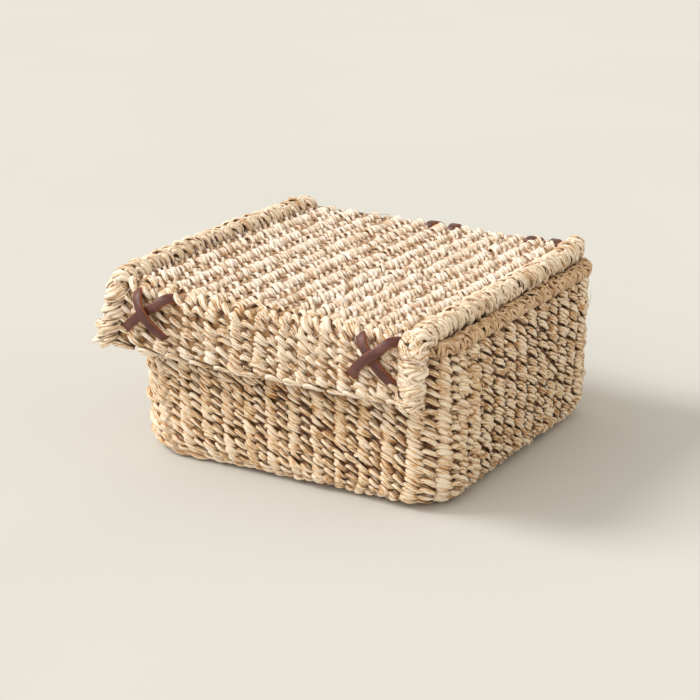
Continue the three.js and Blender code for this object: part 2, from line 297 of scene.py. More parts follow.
def tubes_from(centre: Array, facing: Array, section: Array, tone: Array, closed: bool = False) -> Bundle:
    """Sweeps sections along lines and keeps the coordinates that the finish reads.

    Args:
        centre: Points of the lines, (tubes, places, 3), with one spare place at each end if closed.
        facing: Directions that the section faces.
        section: Section points that fit (tubes, places, around, 2).
        tone: Shade at each place.
        closed: Whether the lines are loops.

    Returns:
        The tubes.
    """
    points = sweep(centre, facing, section)
    steps = np.linalg.norm(np.diff(centre, axis=1, prepend=centre[:, :1]), axis=-1)
    distance = np.cumsum(steps, axis=1)
    shape = points.shape[:3]
    middle = np.mean(np.broadcast_to(section, (*shape, 2)), axis=2, keepdims=True)
    own = np.broadcast_to(section, (*shape, 2)) - middle
    fibre = np.concatenate([np.broadcast_to(distance[..., None, None], (*shape, 1)), own], axis=-1)
    tone = np.broadcast_to(tone, shape[:2])
    if closed:
        points, fibre, tone = points[:, 1:-1], fibre[:, 1:-1], tone[:, 1:-1]
    return Bundle(points, fibre, tone, closed)


@dataclass(frozen=True)
class Cords:
    """Cords that bend round a roll.

    Attributes:
        run: Place along the roll at each point of each cord.
        width: Place across the roll.
        height: Place above the roll's middle.
        tone: Shade at each point.
        radius: Half the thickness of a cord.
    """

    run: Array
    width: Array
    height: Array
    tone: Array
    radius: float

    def along_course(self, middle: float, side: int = 1) -> Bundle:
        """Tubes round a roll that lies along a course, bulging on one side of the mat.

        Args:
            middle: Height of the roll across the mat.
            side: 1 for the outside, -1 for the inside.

        Returns:
            One tube for each cord.
        """
        out = side * self.width
        centre = np.stack([self.run, middle + self.height, out], axis=-1)
        return self.tubes(centre, np.stack([np.zeros_like(self.run), self.height, out], axis=-1))

    def across_courses(self, middle: float, lift: float) -> Bundle:
        """Tubes round a roll that lies across the courses.

        Args:
            middle: Place of the roll along the courses.
            lift: Height of the roll above the mat's middle.

        Returns:
            One tube for each cord.
        """
        centre = np.stack([middle + self.width, self.run, lift + self.height], axis=-1)
        return self.tubes(centre, np.stack([self.width, np.zeros_like(self.run), self.height], axis=-1))

    def tubes(self, centre: Array, facing: Array) -> Bundle:
        """Round tubes along the given lines."""
        return tubes_from(centre, unit(facing), self.radius * circle(CORD_SIDES), self.tone)


@dataclass(frozen=True)
class Course:
    """The stakes that a course of twine passes, and where they stand.

    Attributes:
        counts: Stitches up to each mark, starting with 0.
        marks: Distance along the course at each count.
        closed: Whether the course runs right round.
        samples: Places worked out for each stitch.
    """

    counts: tuple[float, ...]
    marks: tuple[float, ...]
    closed: bool
    samples: int = SAMPLES_PER_STITCH

    @property
    def stitches(self) -> int:
        """Stitches on the course."""
        return int(self.counts[-1])

    def spots(self) -> Array:
        """Places along the course, in stitches, with a spare one at each end of a loop."""
        steps = self.stitches * self.samples
        spare = 1 if self.closed else 0
        return np.arange(-spare, steps + 1) / self.samples

    def beside(self, spots: Array) -> Array:
        """0 on the first and third sides of a loop and 1 on the others, or 0 all along an open course."""
        if not self.closed:
            return np.zeros_like(spots)
        wave = np.cos(4 * math.pi * (spots - self.counts[1] / 2) / self.stitches)
        return (1 - np.clip(2 * wave, -1, 1)) / 2

    def along(self, spots: Array) -> Array:
        """Distance along the course of places given in stitches, running on past a loop's end."""
        rounds = np.floor(spots / self.stitches) if self.closed else np.zeros_like(spots)
        return rounds * self.marks[-1] + np.interp(spots - rounds * self.stitches, self.counts, self.marks)


@dataclass(frozen=True)
class Twining:
    """How two strands, a broad and a slim one, twist round the stakes of a course.

    Attributes:
        sway: How far a strand swings across the course, which sets the slant of its stitches.
        depth: How far it swings to the front and back of the stakes.
        radius: Half the width of the broad strand.
        uneven: Size of the hand-made shifts.
        lead: Angle by which the depth runs ahead, so a stitch starts proud and ends tucked in.
        slim: The slim strand's width as a share of the broad one's.
        proud: How far broad stitches stand out and slim ones sit back.
        overlap: Share by which a strand's run in front of the stakes is longer than its run behind.
        reach: Share by which broad stitches are longer and slim ones shorter than the pitch.
        taper: Share by which a stitch's head is thicker than its tail.
        stagger: Angle by which the thick ends of a strand's plies lie apart.
        cleft: Distance of a ply from its strand's middle, as a share of the strand's radius.
        fullness: Sum of that distance and the ply's radius, as a share of the strand's radius.
        lap: Angle by which the slim strand's plies lie one behind the other.
        side_reach: Share by which, on side walls, broad stitches are longer and slim ones less slanted.
        side_lean: Share by which broad stitches are more slanted there.
        side_slim: Share by which both strands are thinner there.
        side_level: Share of the lead that is missing there.
        corner_swell: How much both strands thicken where a loop turns from one wall to the next.
        own_slip: Shift of one strand along the course, as a share of the shift of both.
        size_chance: Share of the shifts that changes a stitch's slant and thickness.
        depth_chance: Share of the shifts that changes its depth.
        height_waves: Most waves of the slow rise and fall of a course.
        tone_chance: Change of shade from stitch to stitch.
        tone_drift: Slow change of shade along a strand.
        tone_waves: Most waves of that slow change.
    """

    sway: float
    depth: float
    radius: float
    uneven: float
    lead: float = 0.65
    slim: float = 0.86
    proud: float = 0.35
    overlap: float = 0.4
    reach: float = 0.1
    taper: float = 0.3
    stagger: float = 0.7
    cleft: float = 0.48
    fullness: float = 1.04
    lap: float = 1.0
    side_reach: float = 0.65
    side_lean: float = 0.25
    side_slim: float = 0.22
    side_level: float = 0.75
    corner_swell: float = 1.4
    own_slip: float = 0.6
    size_chance: float = 0.3
    depth_chance: float = 0.8
    height_waves: int = 9
    tone_chance: float = 0.1
    tone_drift: float = 0.05
    tone_waves: int = 5

    def courses(self, course: Course, heights: Array, girths: Array, seed: int) -> Bundle:
        """Two twisted strands of two plies for each course.

        With t the half turns passed, a strand's line is w = height - sway sin(t) and
        d = depth cos(t + lead). On a loop's side walls broad stitches are longer, prouder and more
        slanted, and slim ones lie tucked in between them.

        Args:
            course: Stakes and places along the course.
            heights: Height of each course across the mat.
            girths: Thickness of each course's strands as a share of the usual.
            seed: Seed of the hand-made shifts.

        Returns:
            Four tubes for each course, in the order of the courses.
        """
        rng = np.random.default_rng(seed)
        spots = course.spots()
        lines = (len(heights), 2)
        share = spots / course.stitches
        turned = course.beside(spots)
        beside = turned * turned

        def chance(rows: int) -> Array:
            """Random numbers for each stitch, shared by both strands or in two rows."""
            return per_stitch(rng, (lines[0], rows), course.stitches, spots)

        turn = math.pi * (spots[None, :] + np.arange(2)[:, None])
        lead = self.lead * (1 - self.side_level * beside)
        front = np.cos(turn + lead)
        stand = np.array([1.0, -1.0])[:, None] * self.proud * (1 + beside) * np.maximum(front, 0)
        drift = wander(rng, (lines[0], 1), share, self.height_waves)
        pitch = (course.marks[-1] - course.marks[0]) / course.stitches
        stretch = (self.reach + self.side_reach * beside) * pitch / math.pi * np.sin(math.pi * spots)
        overlap = self.overlap * pitch / math.pi * np.sin(turn)
        slip = self.uneven * (chance(1) + self.own_slip * chance(2))
        u = course.along(spots) + stretch + overlap + slip
        slant = 1 + np.array([self.side_lean, -self.side_reach])[:, None] * beside
        sway = self.sway * slant * (1 + self.size_chance * self.uneven * chance(2))
        w = heights[:, None, None] - sway * np.sin(turn) + self.uneven * (chance(2) + drift)
        d = self.depth * front + stand + self.depth_chance * self.uneven * chance(2)
        centre = np.stack(np.broadcast_arrays(u, w, d), axis=-1)

        swell = 1 - self.side_slim * beside + self.corner_swell * turned * (1 - turned)
        width = np.array([1.0, self.slim])[:, None] * self.radius * girths[:, None, None] * swell
        girth = (width * (1 + self.size_chance * self.uneven * chance(2)))[..., None]
        lap = np.array([0.0, self.lap])[:, None] + self.uneven * chance(2)
        angle = lap[..., None] + math.pi * np.arange(PLIES)
        apart = self.stagger * (np.arange(PLIES) - (PLIES - 1) / 2)
        girth = girth * (1 + self.taper * np.cos((turn + 2 * lead)[..., None] + apart))
        offset = self.cleft * girth[..., None] * np.stack([np.cos(angle), np.sin(angle)], axis=-1)
        ring = (self.fullness - self.cleft) * girth[..., None, None] * circle(CORD_SIDES)
        section = np.moveaxis(offset[..., None, :] + ring, 3, 2)
        nearest = np.floor(spots + 0.5)
        tone = MIDDLE_TONE + self.tone_chance * per_stitch(rng, lines, course.stitches, nearest)
        tone = tone + self.tone_drift * wander(rng, lines, share, self.tone_waves)

        tubes = lines[0] * lines[1] * PLIES
        places = len(spots)
        centre = np.repeat(centre.reshape(-1, places, 3), PLIES, axis=0)
        section = section.reshape(tubes, places, CORD_SIDES, 2)
        tone = np.repeat(np.clip(tone, 0, 1).reshape(-1, places), PLIES, axis=0)
        return tubes_from(centre, OUTWARD, section, tone, course.closed)


@dataclass(frozen=True)
class Overcast:
    """A bundle of fine cords wound round a border.

    Attributes:
        cords: Cords side by side in the bundle.
        step: Distance between neighbouring cords.
        radius: Half the thickness of a cord.
        half_width: Half the border's width, over the cords.
        half_height: Half the border's height, over the cords.
        crown: How far the bundle's middle stands above its sides.
        uneven: Size of the hand-made shifts.
        bundle_chance: Share of the shifts that the whole bundle has.
        cord_slip: Share of the shifts that a cord has along the border.
        cord_swell: Share of the shifts that a cord has away from the border.
        tone_chance: Change of shade of the bundle and of each cord.
    """

    cords: int
    step: float
    radius: float
    half_width: float
    half_height: float
    crown: float
    uneven: float
    bundle_chance: float = 0.6
    cord_slip: float = 0.7
    cord_swell: float = 0.6
    tone_chance: float = 0.12

    def wraps(self, course: Course, seed: int) -> Cords:
        """Winding round a straight border: an oval helix for each cord.

        Args:
            course: Whole turns along the border.
            seed: Seed of the hand-made shifts.

        Returns:
            The cords.
        """
        rng = np.random.default_rng(seed)
        spots = course.spots()
        place = np.arange(self.cords) - (self.cords - 1) / 2
        raised = self.crown * (1 - (2 * place / self.cords) ** 2)

        def chance(often: int, rows: int) -> Array:
            """Random numbers, so many in each turn, for the bundle in one row or for each cord."""
            return per_stitch(rng, (rows,), often * course.stitches, often * spots)

        slip = self.bundle_chance * chance(3, 1) + self.cord_slip * chance(5, self.cords)
        swell = self.cord_swell * chance(6, self.cords) + self.bundle_chance * chance(4, 1)
        tone = MIDDLE_TONE + self.tone_chance * chance(2, 1) + self.tone_chance * chance(6, self.cords)
        angle = 2 * math.pi * spots
        reach = raised[:, None] - self.radius - self.crown + self.uneven * swell
        return Cords(
            course.along(spots) + place[:, None] * self.step + 2 * self.uneven * slip,
            (self.half_width + reach) * np.cos(angle), (self.half_height + reach) * np.sin(angle),
            np.clip(tone, 0, 1), self.radius)


@dataclass(frozen=True)
class Arches:
    """Nested loops of cord that stand side by side on a roll.

    Attributes:
        cords: Loops inside each other.
        span: Distance between the feet of the outermost loop.
        core: Share of that span at the innermost loop.
        top: Angle round the roll that the outermost loop climbs to.
        foot: Angle of the feet.
        radius: Half the thickness of a cord.
        half_width: Half the roll's width, over the cords.
        half_height: Half the roll's height, over the cords.
        lean: How far the loops' tops lean back along the roll.
        uneven: Size of the hand-made shifts.
        breadth: Power of the sine that a loop climbs by, under 1 for a broad top.
        lift: How far a loop's top stands off the roll.
        own_slip: Shift of one loop along the roll, as a share of the shift of its set.
        top_chance: Share of the shifts that changes a loop's top.
        lift_chance: Share of the shifts that changes its distance from the roll.
        tone_chance: Change of shade from loop to loop.
    """

    cords: int
    span: float
    core: float
    top: float
    foot: float
    radius: float
    half_width: float
    half_height: float
    lean: float
    uneven: float
    breadth: float = 0.7
    lift: float = 0.5
    own_slip: float = 0.4
    top_chance: float = 0.25
    lift_chance: float = 0.5
    tone_chance: float = 0.16

    def loops(self, places: Array, seed: int) -> Cords:
        """Loops that climb the roll as a power of half a sine wave and come down again.

        Args:
            places: Middle of each set of loops along the roll.
            seed: Seed of the hand-made shifts.

        Returns:
            The loops' cords.
        """
        rng = np.random.default_rng(seed)
        share = np.linspace(0, 1, SAMPLES_PER_ARCH)
        size = np.linspace(self.core, 1, self.cords)[None, :, None]
        shape = (len(places), self.cords, 1)
        slip = self.uneven * (rng.normal(size=(len(places), 1, 1)) + self.own_slip * rng.normal(size=shape))
        climb = np.sin(math.pi * share) ** self.breadth
        rise = (self.top - self.foot) * size * (1 + self.top_chance * self.uneven * rng.normal(size=shape))
        angle = self.foot + rise * climb
        run = places[:, None, None] + slip + size * self.span * (share - 0.5) - self.lean * climb
        off = self.lift_chance * self.uneven * rng.normal(size=shape)
        reach = -self.radius + off + self.lift * climb
        width = (self.half_width + reach) * np.cos(angle)
        height = (self.half_height + reach) * np.sin(angle)
        tone = np.clip(MIDDLE_TONE + self.tone_chance * rng.normal(size=shape), 0, 1)
        flat = [a.reshape(-1, SAMPLES_PER_ARCH) for a in np.broadcast_arrays(run, width, height, tone)]
        return Cords(*flat, self.radius)


@dataclass(frozen=True)
class WallFace:
    """The basket's wall. u runs left to right round the outside from the front's left end."""

    width: float = 200
    depth: float = 200
    height: float = 96
    rim_corner: float = 19
    foot_corner: float = 25
    foot_radius: float = 14
    wall_top: float = 87.7
    thickness: float = 8
    belly: float = 2

    @property
    def usual_corner(self) -> float:
        """Corner radius half-way up, which the distance round the basket is counted by."""
        return (self.rim_corner + self.foot_corner) / 2

    @property
    def corner_run(self) -> float:
        """Length of a corner at the middle of the wall's thickness."""
        return (self.usual_corner - self.thickness / 2) * math.pi / 2

    @property
    def foot_run(self) -> float:
        """Length of the turned-in foot along the outside."""
        return self.foot_radius * math.pi / 2

    @property
    def rise(self) -> float:
        """Length of the whole wall along the outside, from the base's seam to the top."""
        return self.foot_run + self.wall_top - self.foot_radius

    def marks(self) -> tuple[float, ...]:
        """Distance round the basket at the end of each side with its corner."""
        front = self.width - 2 * self.usual_corner + self.corner_run
        side = self.depth - 2 * self.usual_corner + self.corner_run
        return tuple(np.cumsum([0, front, side, front, side]).tolist())

    def plan(self, u: Array, inset: Array, radius: Array, bow: Array) -> Array:
        """Rounded rectangle: each side is a flat arc of height bow, each corner a quarter circle.

        Args:
            u: Distance round the basket.
            inset: Distance inside the outline.
            radius: Corner radius.
            bow: How far the middle of each side stands out.

        Returns:
            Plan points, (..., 2).
        """
        marks = np.array(self.marks())
        u = np.mod(u, marks[-1])
        side = np.clip(np.searchsorted(marks, u, side="right") - 1, 0, 3)
        outward = np.array([[0, -1], [1, 0], [0, 1], [-1, 0]], float)[side]
        along = np.stack([-outward[..., 1], outward[..., 0]], axis=-1)
        half_along = np.array([self.width, self.depth, self.width, self.depth])[side] / 2
        half_out = np.array([self.depth, self.width, self.depth, self.width])[side] / 2
        local = u - marks[side]
        straight = 2 * (half_along - self.usual_corner)
        t = np.clip(2 * local / straight - 1, -1, 1)
        turn = np.clip((local - straight) / self.corner_run, 0, 1) * math.pi / 2
        reach = half_along - inset - radius
        out = half_out - inset - radius + bow * (1 - t * t) + radius * np.cos(turn)
        right = t * reach + radius * np.sin(turn)
        return outward * out[..., None] + along * right[..., None]

    def place(self, fabric: Array) -> Array:
        """Carries the wall's section, a quarter circle and an upright line, round the plan.

        Args:
            fabric: Fabric points, w counted up the outside from the base's seam.

        Returns:
            Space points.
        """
        u, w, d = np.moveaxis(fabric, -1, 0)
        angle = np.clip(w / self.foot_run, None, 1) * math.pi / 2
        skin = d - self.thickness / 2
        out = (self.foot_radius + skin) * np.sin(angle) - self.foot_radius
        z = self.foot_radius - (self.foot_radius + skin) * np.cos(angle) + np.maximum(w - self.foot_run, 0)
        climb = np.clip(z / self.height, 0, 1)
        radius = self.foot_corner + (self.rim_corner - self.foot_corner) * climb + skin * np.sin(angle)
        share = np.clip((z - self.foot_radius) / (self.wall_top - self.foot_radius), 0, 1)
        plan = self.plan(u, -out, radius, self.belly * np.sin(math.pi * share))
        return np.concatenate([plan, pressed(z)[..., None]], axis=-1)


@dataclass(frozen=True)
class BaseFace:
    """The flat base. Its outside faces down, u runs along X and w towards the front."""

    thickness: float = 8

    def place(self, fabric: Array) -> Array:
        """x = u, y = -w and z = half the thickness less d, pressed flat at the foot."""
        z = pressed(self.thickness / 2 - fabric[..., 2])
        return np.stack([fabric[..., 0], -fabric[..., 1], z], axis=-1)


@dataclass(frozen=True)
class LidFace:
    """The lid's mat. u is X at the top, and w runs up the flap from its foot and back over the top."""

    left: float = -107.5
    right: float = 95
    rear: float = 97
    middle: float = 100.3
    flap_middle: float = -108.4
    flap_foot: float = 65
    fold_radius: float = 5.2
    sway: float = 1.5
    flare: float = 9
    flare_start: float = -20
    lift: float = 4.5
    lift_middle: float = -25
    lift_reach: float = 135
    corner_draw: float = 5
    corner_start: float = 65
    past_edge: float = 1.1
    samples: int = 900

    @property
    def fold_foot(self) -> float:
        """Height where the fold ends and the flap hangs straight."""
        return self.middle - self.fold_radius

    @property
    def fold_start(self) -> float:
        """Length of the middle line up to the fold's top, where the flat lid begins."""
        return self.fold_foot - self.flap_foot + self.fold_radius * math.pi / 2

    def line(self) -> Array:
        """Middle line in (y, z): up the flap, a quarter circle and the flat top."""
        angle = np.linspace(math.pi, math.pi / 2, SAMPLES_PER_CURVE)
        y = self.flap_middle + self.fold_radius + self.fold_radius * np.cos(angle)
        z = self.fold_foot + self.fold_radius * np.sin(angle)
        ends = np.array([[self.flap_middle, self.flap_foot], [self.rear, self.middle]])
        return even(np.concatenate([ends[:1], np.column_stack([y, z]), ends[1:]]), self.samples)

    @property
    def length(self) -> float:
        """Length of the middle line."""
        return float(np.linalg.norm(np.diff(self.line(), axis=0), axis=1).sum())

    def place(self, fabric: Array) -> Array:
        """Sets d square to the middle line at w, then bends the lid to its hand-made shape.

        The left side lifts in a low crown, the flap sways and flares to the left, and the rear
        right corner is drawn in.

        Args:
            fabric: Fabric points.

        Returns:
            Space points.
        """
        u, w, d = np.moveaxis(fabric, -1, 0)
        line = self.line()
        normal = left_normals(line)
        wanted = np.clip(w, 0, self.length)
        length = np.linspace(0, self.length, len(line))
        y, z, ny, nz = (np.interp(wanted, length, a) for a in (*line.T, *normal.T))
        spill = w - wanted
        y = y + ny * d + np.maximum(spill, 0)
        z = z + nz * d + np.minimum(spill, 0)
        fall = np.clip((self.fold_foot - z) / (self.fold_foot - self.flap_foot), 0, self.past_edge)
        side = np.clip((self.flare_start - u) / (self.flare_start - self.left), 0, self.past_edge)
        crown = 1 - ((y - self.lift_middle) / self.lift_reach) ** 2
        corner = np.clip((y - self.corner_start) / (self.rear - self.corner_start), 0, self.past_edge)
        near_right = ease((u - self.corner_start) / (self.right - self.corner_start))
        inward = self.corner_draw * corner**2 * near_right
        x = u - fall * (self.sway + self.flare * side * side) - inward
        return np.stack([x, y, z + self.lift * crown * side * side], axis=-1)


class OpenSpace:
    """Fabric space that is plain space, for lines given where they are."""

    def place(self, fabric: Array) -> Array:
        """The points as they are."""
        return fabric


@dataclass
class Value:
    """A shader socket that adds Math nodes as it is reckoned with."""

    graph: "Graph"
    socket: Any

    def reckon(self, operation: str, first: Any, second: Any) -> "Value":
        """The output of a new Math node."""
        return self.graph.node("ShaderNodeMath", {"operation": operation}, {0: first, 1: second}, "Value")

    def __add__(self, other: Union["Value", float]) -> "Value":
        """Sum."""
        return self.reckon("ADD", self, other)

    __radd__ = __add__

    def __mul__(self, other: Union["Value", float]) -> "Value":
        """Product."""
        return self.reckon("MULTIPLY", self, other)

    __rmul__ = __mul__

    def __sub__(self, other: Union["Value", float]) -> "Value":
        """Difference."""
        return self.reckon("SUBTRACT", self, other)

    def __rsub__(self, other: float) -> "Value":
        """Difference from a number."""
        return self.reckon("SUBTRACT", other, self)

    def __pow__(self, other: float) -> "Value":
        """Power."""
        return self.reckon("POWER", self, other)

    def between(self, low: float, high: float) -> "Value":
        """0 at low and 1 at high, eased and clipped."""
        settings = {"interpolation_type": "SMOOTHSTEP"}
        inputs = {"Value": self, "From Min": low, "From Max": high}
        return self.graph.node("ShaderNodeMapRange", settings, inputs, "Result")


class Graph:
    """The nodes of one material or world."""

    def __init__(self, owner: Any) -> None:
        """Empties the owner's node tree."""
        owner.use_nodes = True
        self.tree = owner.node_tree
        self.tree.nodes.clear()

    def node(self, kind: str, settings: dict, inputs: dict, output: Union[str, int]) -> Value:
        """Adds any node.

        Args:
            kind: Blender's name of the node's type.
            settings: Properties of the node, set first.
            inputs: Values or links, by socket name or number.
            output: Name or number of the output that is used.

        Returns:
            That output.
        """
        made = self.tree.nodes.new(kind)
        for name, setting in settings.items():
            setattr(made, name, setting)
        for name, given in inputs.items():
            if isinstance(given, Value):
                self.tree.links.new(given.socket, made.inputs[name])
            elif isinstance(given, tuple) and len(given) == 3 and made.inputs[name].type == "RGBA":
                made.inputs[name].default_value = (*given, 1.0)
            else:
                made.inputs[name].default_value = given
        return Value(self, made.outputs[output])

    def attribute(self, name: str, output: str) -> Value:
        """One of the piece's own attributes."""
        return self.node("ShaderNodeAttribute", {"attribute_name": name}, {}, output)

    def scaled(self, vector: Value, scale: Triple, shift: Optional[Value] = None) -> Value:
        """A vector scaled on each axis, then shifted by one number on all."""
        made = self.node("ShaderNodeVectorMath", {"operation": "MULTIPLY"}, {0: vector, 1: scale}, "Vector")
        if shift is None:
            return made
        return self.node("ShaderNodeVectorMath", {"operation": "ADD"}, {0: made, 1: shift}, "Vector")

    def noise(self, vector: Value, detail: float, roughness: float = 0.5) -> Value:
        """Noise over a vector, about 0.3 to 0.7."""
        inputs = {"Vector": vector, "Scale": 1.0, "Detail": detail, "Roughness": roughness}
        return self.node("ShaderNodeTexNoise", {}, inputs, "Fac")

    def mix(self, share: Value, first: Union[Value, Triple], second: Union[Value, Triple]) -> Value:
        """First colour at share 0, second at 1."""
        inputs = {0: share, 6: first, 7: second}
        return self.node("ShaderNodeMix", {"data_type": "RGBA"}, inputs, 2)

    def bump(self, height: Value, strength: float, distance: float) -> Value:
        """Normals of a fine relief, its distance in millimetres."""
        inputs = {"Height": height, "Strength": strength, "Distance": distance * MM}
        return self.node("ShaderNodeBump", {}, inputs, "Normal")

    def surface(self, inputs: dict) -> None:
        """Ends the graph in one plain surface shader."""
        shader = self.node("ShaderNodeBsdfPrincipled", {}, inputs, "BSDF")
        out = self.tree.nodes.new("ShaderNodeOutputMaterial")
        self.tree.links.new(shader.socket, out.inputs["Surface"])


@dataclass(frozen=True)
class TwineFinish:
    """Dry plant fibre, twisted into cord: straw with pale and brown streaks along it.

    Attributes:
        name: Name of the material.
        pale: Screen colour of the palest streaks.
        straw: Screen colour of the usual fibre.
        brown: Screen colour of the darkest streaks.
        painted_shade_colour: Screen colour of the painted shade on the cords' backs and towards the mat's
            middle.
        grain: How strongly single fibres show.
        streak_scale: Fineness of the streaks, along the cord and across it.
        grain_scale: Fineness of single fibres, in the same way.
        streak_shift: How far a change of tone moves the streaks, so that no two stitches look alike.
        grain_shift: How far it moves the single fibres.
        painted_shade_share: How much of the painted shade colour shows where the painted shade is strongest.
        relief: Height of the streaks and fibres in millimetres.
    """

    name: str
    pale: Triple
    straw: Triple
    brown: Triple
    painted_shade_colour: Triple = (0.31, 0.17, 0.065)
    grain: float = 1.0
    streak_scale: Triple = (0.12, 0.8, 0.8)
    grain_scale: Triple = (0.2, 1.5, 1.5)
    streak_shift: float = 40
    grain_shift: float = 23
    painted_shade_share: float = 0.92
    relief: float = 0.7

    def material(self) -> bpy.types.Material:
        """Streaks are noise stretched along the fibre, and painted shade darkens the cords' backs and the
        mat's middle.
        """
        made = bpy.data.materials.new(self.name)
        graph = Graph(made)
        fibre = graph.attribute("fibre", "Vector")
        tone = graph.attribute("tone", "Fac")
        painted_shade = graph.attribute("painted_shade", "Fac")
        streak = graph.noise(graph.scaled(fibre, self.streak_scale, tone * self.streak_shift), 2.0)
        strand = graph.noise(graph.scaled(fibre, self.grain_scale, tone * self.grain_shift), 3.0, 0.7)
        lines = strand.between(0.38, 0.62) - 0.5
        # Shade: the random tone, the streaks and single fibres, less the painted shade.
        shade = tone * 0.9 + streak * 1.6 + lines * (0.5 * self.grain) - painted_shade * 0.7 - 0.5
        colour = graph.mix(shade.between(0.0, 0.55), linear(self.brown), linear(self.straw))
        colour = graph.mix(shade.between(0.4, 0.95), colour, linear(self.pale))
        # Painted shade colour where the painted shade is strong.
        colour = graph.mix(painted_shade.between(0.3, 0.8) * self.painted_shade_share, colour, linear(self.painted_shade_colour))
        height = strand + streak * 0.4
        graph.surface({
            "Base Color": colour,
            "Roughness": 0.74 - strand * 0.3,
            "Specular IOR Level": 0.45,
            "Sheen Weight": 0.12,
            "Sheen Roughness": 0.5,
            "Normal": graph.bump(height, 0.9, self.relief),
        })
        return made


class Fibre(Enum):
    """The fibre's finishes, by the pieces that they dress."""

    WALL = TwineFinish(
        "wall_fibre", (1.0, 0.935, 0.85), (0.945, 0.8, 0.605), (0.715, 0.49, 0.245), grain=2.0)
    # The flap's copy of the lid's fibre, with painted shade: less pale than the top's.
    FLAP = TwineFinish(
        "shaded_flap_fibre", (0.98, 0.92, 0.85), (0.92, 0.805, 0.645), (0.7, 0.5, 0.28), grain=2.4)
    # The top's copy, paler and cooler with lighter painted shade: painted light and sheen on the lit top.
    LIT_TOP = TwineFinish(
        "lit_top_fibre", (0.98, 0.945, 0.905), (0.935, 0.858, 0.763), (0.79, 0.635, 0.48), (0.62, 0.46, 0.31))
    BORDER = TwineFinish(
        "border_fibre", (1.0, 0.935, 0.855), (0.935, 0.825, 0.685), (0.71, 0.52, 0.335), grain=1.8)
    # The rim's copy of the fibre, darker: painted shade of the lid that hangs over the rim.
    SHADED_RIM = TwineFinish(
        "shaded_rim_fibre", (0.92, 0.8, 0.65), (0.8, 0.63, 0.45), (0.57, 0.385, 0.22), grain=1.8)
    # Straw of the stakes and cores, dark with painted shade of the gaps that they show through.
    SHADED_WALL_STRAW = TwineFinish("shaded_wall_straw", (0.54, 0.355, 0.17), (0.42, 0.26, 0.11), (0.3, 0.17, 0.06))
    SHADED_LID_STRAW = TwineFinish("shaded_lid_straw", (0.74, 0.57, 0.39), (0.61, 0.43, 0.26), (0.46, 0.3, 0.155))


@dataclass(frozen=True)
class LeatherFinish:
    """Dyed leather lace with a smooth face, a bare cut edge and a fine grain.

    Attributes:
        name: Name of the material.
        face: Screen colour of the dyed face.
        worn: Screen colour where the dye is worn.
        cut: Screen colour of the cut edge.
        half_width: Half the width of the strip.
        edge: Distances inside the strip's side where the cut edge begins and is full.
        cloud_scale: Fineness of the worn places, along the strip and across it.
        grain_scale: Fineness of the grain, in the same way.
        relief: Height of the grain in millimetres.
    """

    name: str
    face: Triple = (0.33, 0.17, 0.14)
    worn: Triple = (0.42, 0.235, 0.2)
    cut: Triple = (0.56, 0.30, 0.16)
    half_width: float = 2.75
    edge: Span = (0.28, 0.1)
    cloud_scale: Triple = (0.22, 0.5, 0.5)
    grain_scale: Triple = (1.6, 2.0, 2.0)
    relief: float = 0.2

    def material(self) -> bpy.types.Material:
        """The fibre attribute's second number is the place across the strip, which marks the cut edge."""
        made = bpy.data.materials.new(self.name)
        graph = Graph(made)
        fibre = graph.attribute("fibre", "Vector")
        place = graph.node("ShaderNodeSeparateXYZ", {}, {"Vector": fibre}, "Y")
        across = graph.node("ShaderNodeMath", {"operation": "ABSOLUTE"}, {0: place}, "Value")
        edge = across.between(*(self.half_width - inside for inside in self.edge))
        cloudy = graph.noise(graph.scaled(fibre, self.cloud_scale), 3.0)
        grain = graph.node(
            "ShaderNodeTexVoronoi", {"feature": "DISTANCE_TO_EDGE"},
            {"Vector": graph.scaled(fibre, self.grain_scale), "Scale": 1.0}, "Distance",
        )
        colour = graph.mix(cloudy.between(0.35, 0.7), linear(self.face), linear(self.worn))
        colour = graph.mix(edge, colour, linear(self.cut))
        graph.surface({
            "Base Color": colour,
            "Roughness": 0.3 + cloudy * 0.2 + edge * 0.3,
            "Specular IOR Level": 0.5,
            "Normal": graph.bump(grain.between(0.0, 0.25) + cloudy * 0.4, 0.25, self.relief),
        })
        return made


def mesh_from(name: str, bundle: Bundle, face: Face, half: float) -> bpy.types.Mesh:
    """Lays tubes on a face, as a mesh with the three attributes that its finish reads.

    Args:
        name: Name of the mesh.
        bundle: The tubes.
        face: Surface that they are laid on.
        half: Half the mat's thickness, over which painted shade grows towards the mat's middle, or 0 for
            none.

    Returns:
        The mesh.
    """
    points = face.place(bundle.points).reshape(-1, 3) * MM
    corners, starts = bundle.faces()
    mesh = bpy.data.meshes.new(name)
    mesh.vertices.add(len(points))
    mesh.vertices.foreach_set("co", points.astype(np.float32).ravel())
    mesh.loops.add(len(corners))
    mesh.loops.foreach_set("vertex_index", corners.astype(np.int32))
    mesh.polygons.add(len(starts))
    mesh.polygons.foreach_set("loop_start", starts.astype(np.int32))
    mesh.polygons.foreach_set("use_smooth", np.ones(len(starts), bool))
    mesh.update(calc_edges=True)
    # Painted shade: cords darker on their backs and, where half is given, towards the mat's middle.
    rise = bundle.fibre[..., 2]
    painted_shade = FLANK_SHADE - FLANK_SHADE * rise / np.abs(rise).max(axis=-1, keepdims=True)
    if half:
        painted_shade = np.maximum(painted_shade, 1 - np.abs(bundle.points[..., 2]) / half)
    tone = np.broadcast_to(bundle.tone[..., None], painted_shade.shape)
    for attribute, kind, key, values in (
        ("fibre", "FLOAT_VECTOR", "vector", bundle.fibre),
        ("tone", "FLOAT", "value", tone),
        ("painted_shade", "FLOAT", "value", painted_shade),
    ):
        layer = mesh.attributes.new(attribute, kind, "POINT")
        layer.data.foreach_set(key, values.astype(np.float32).ravel())
    return mesh


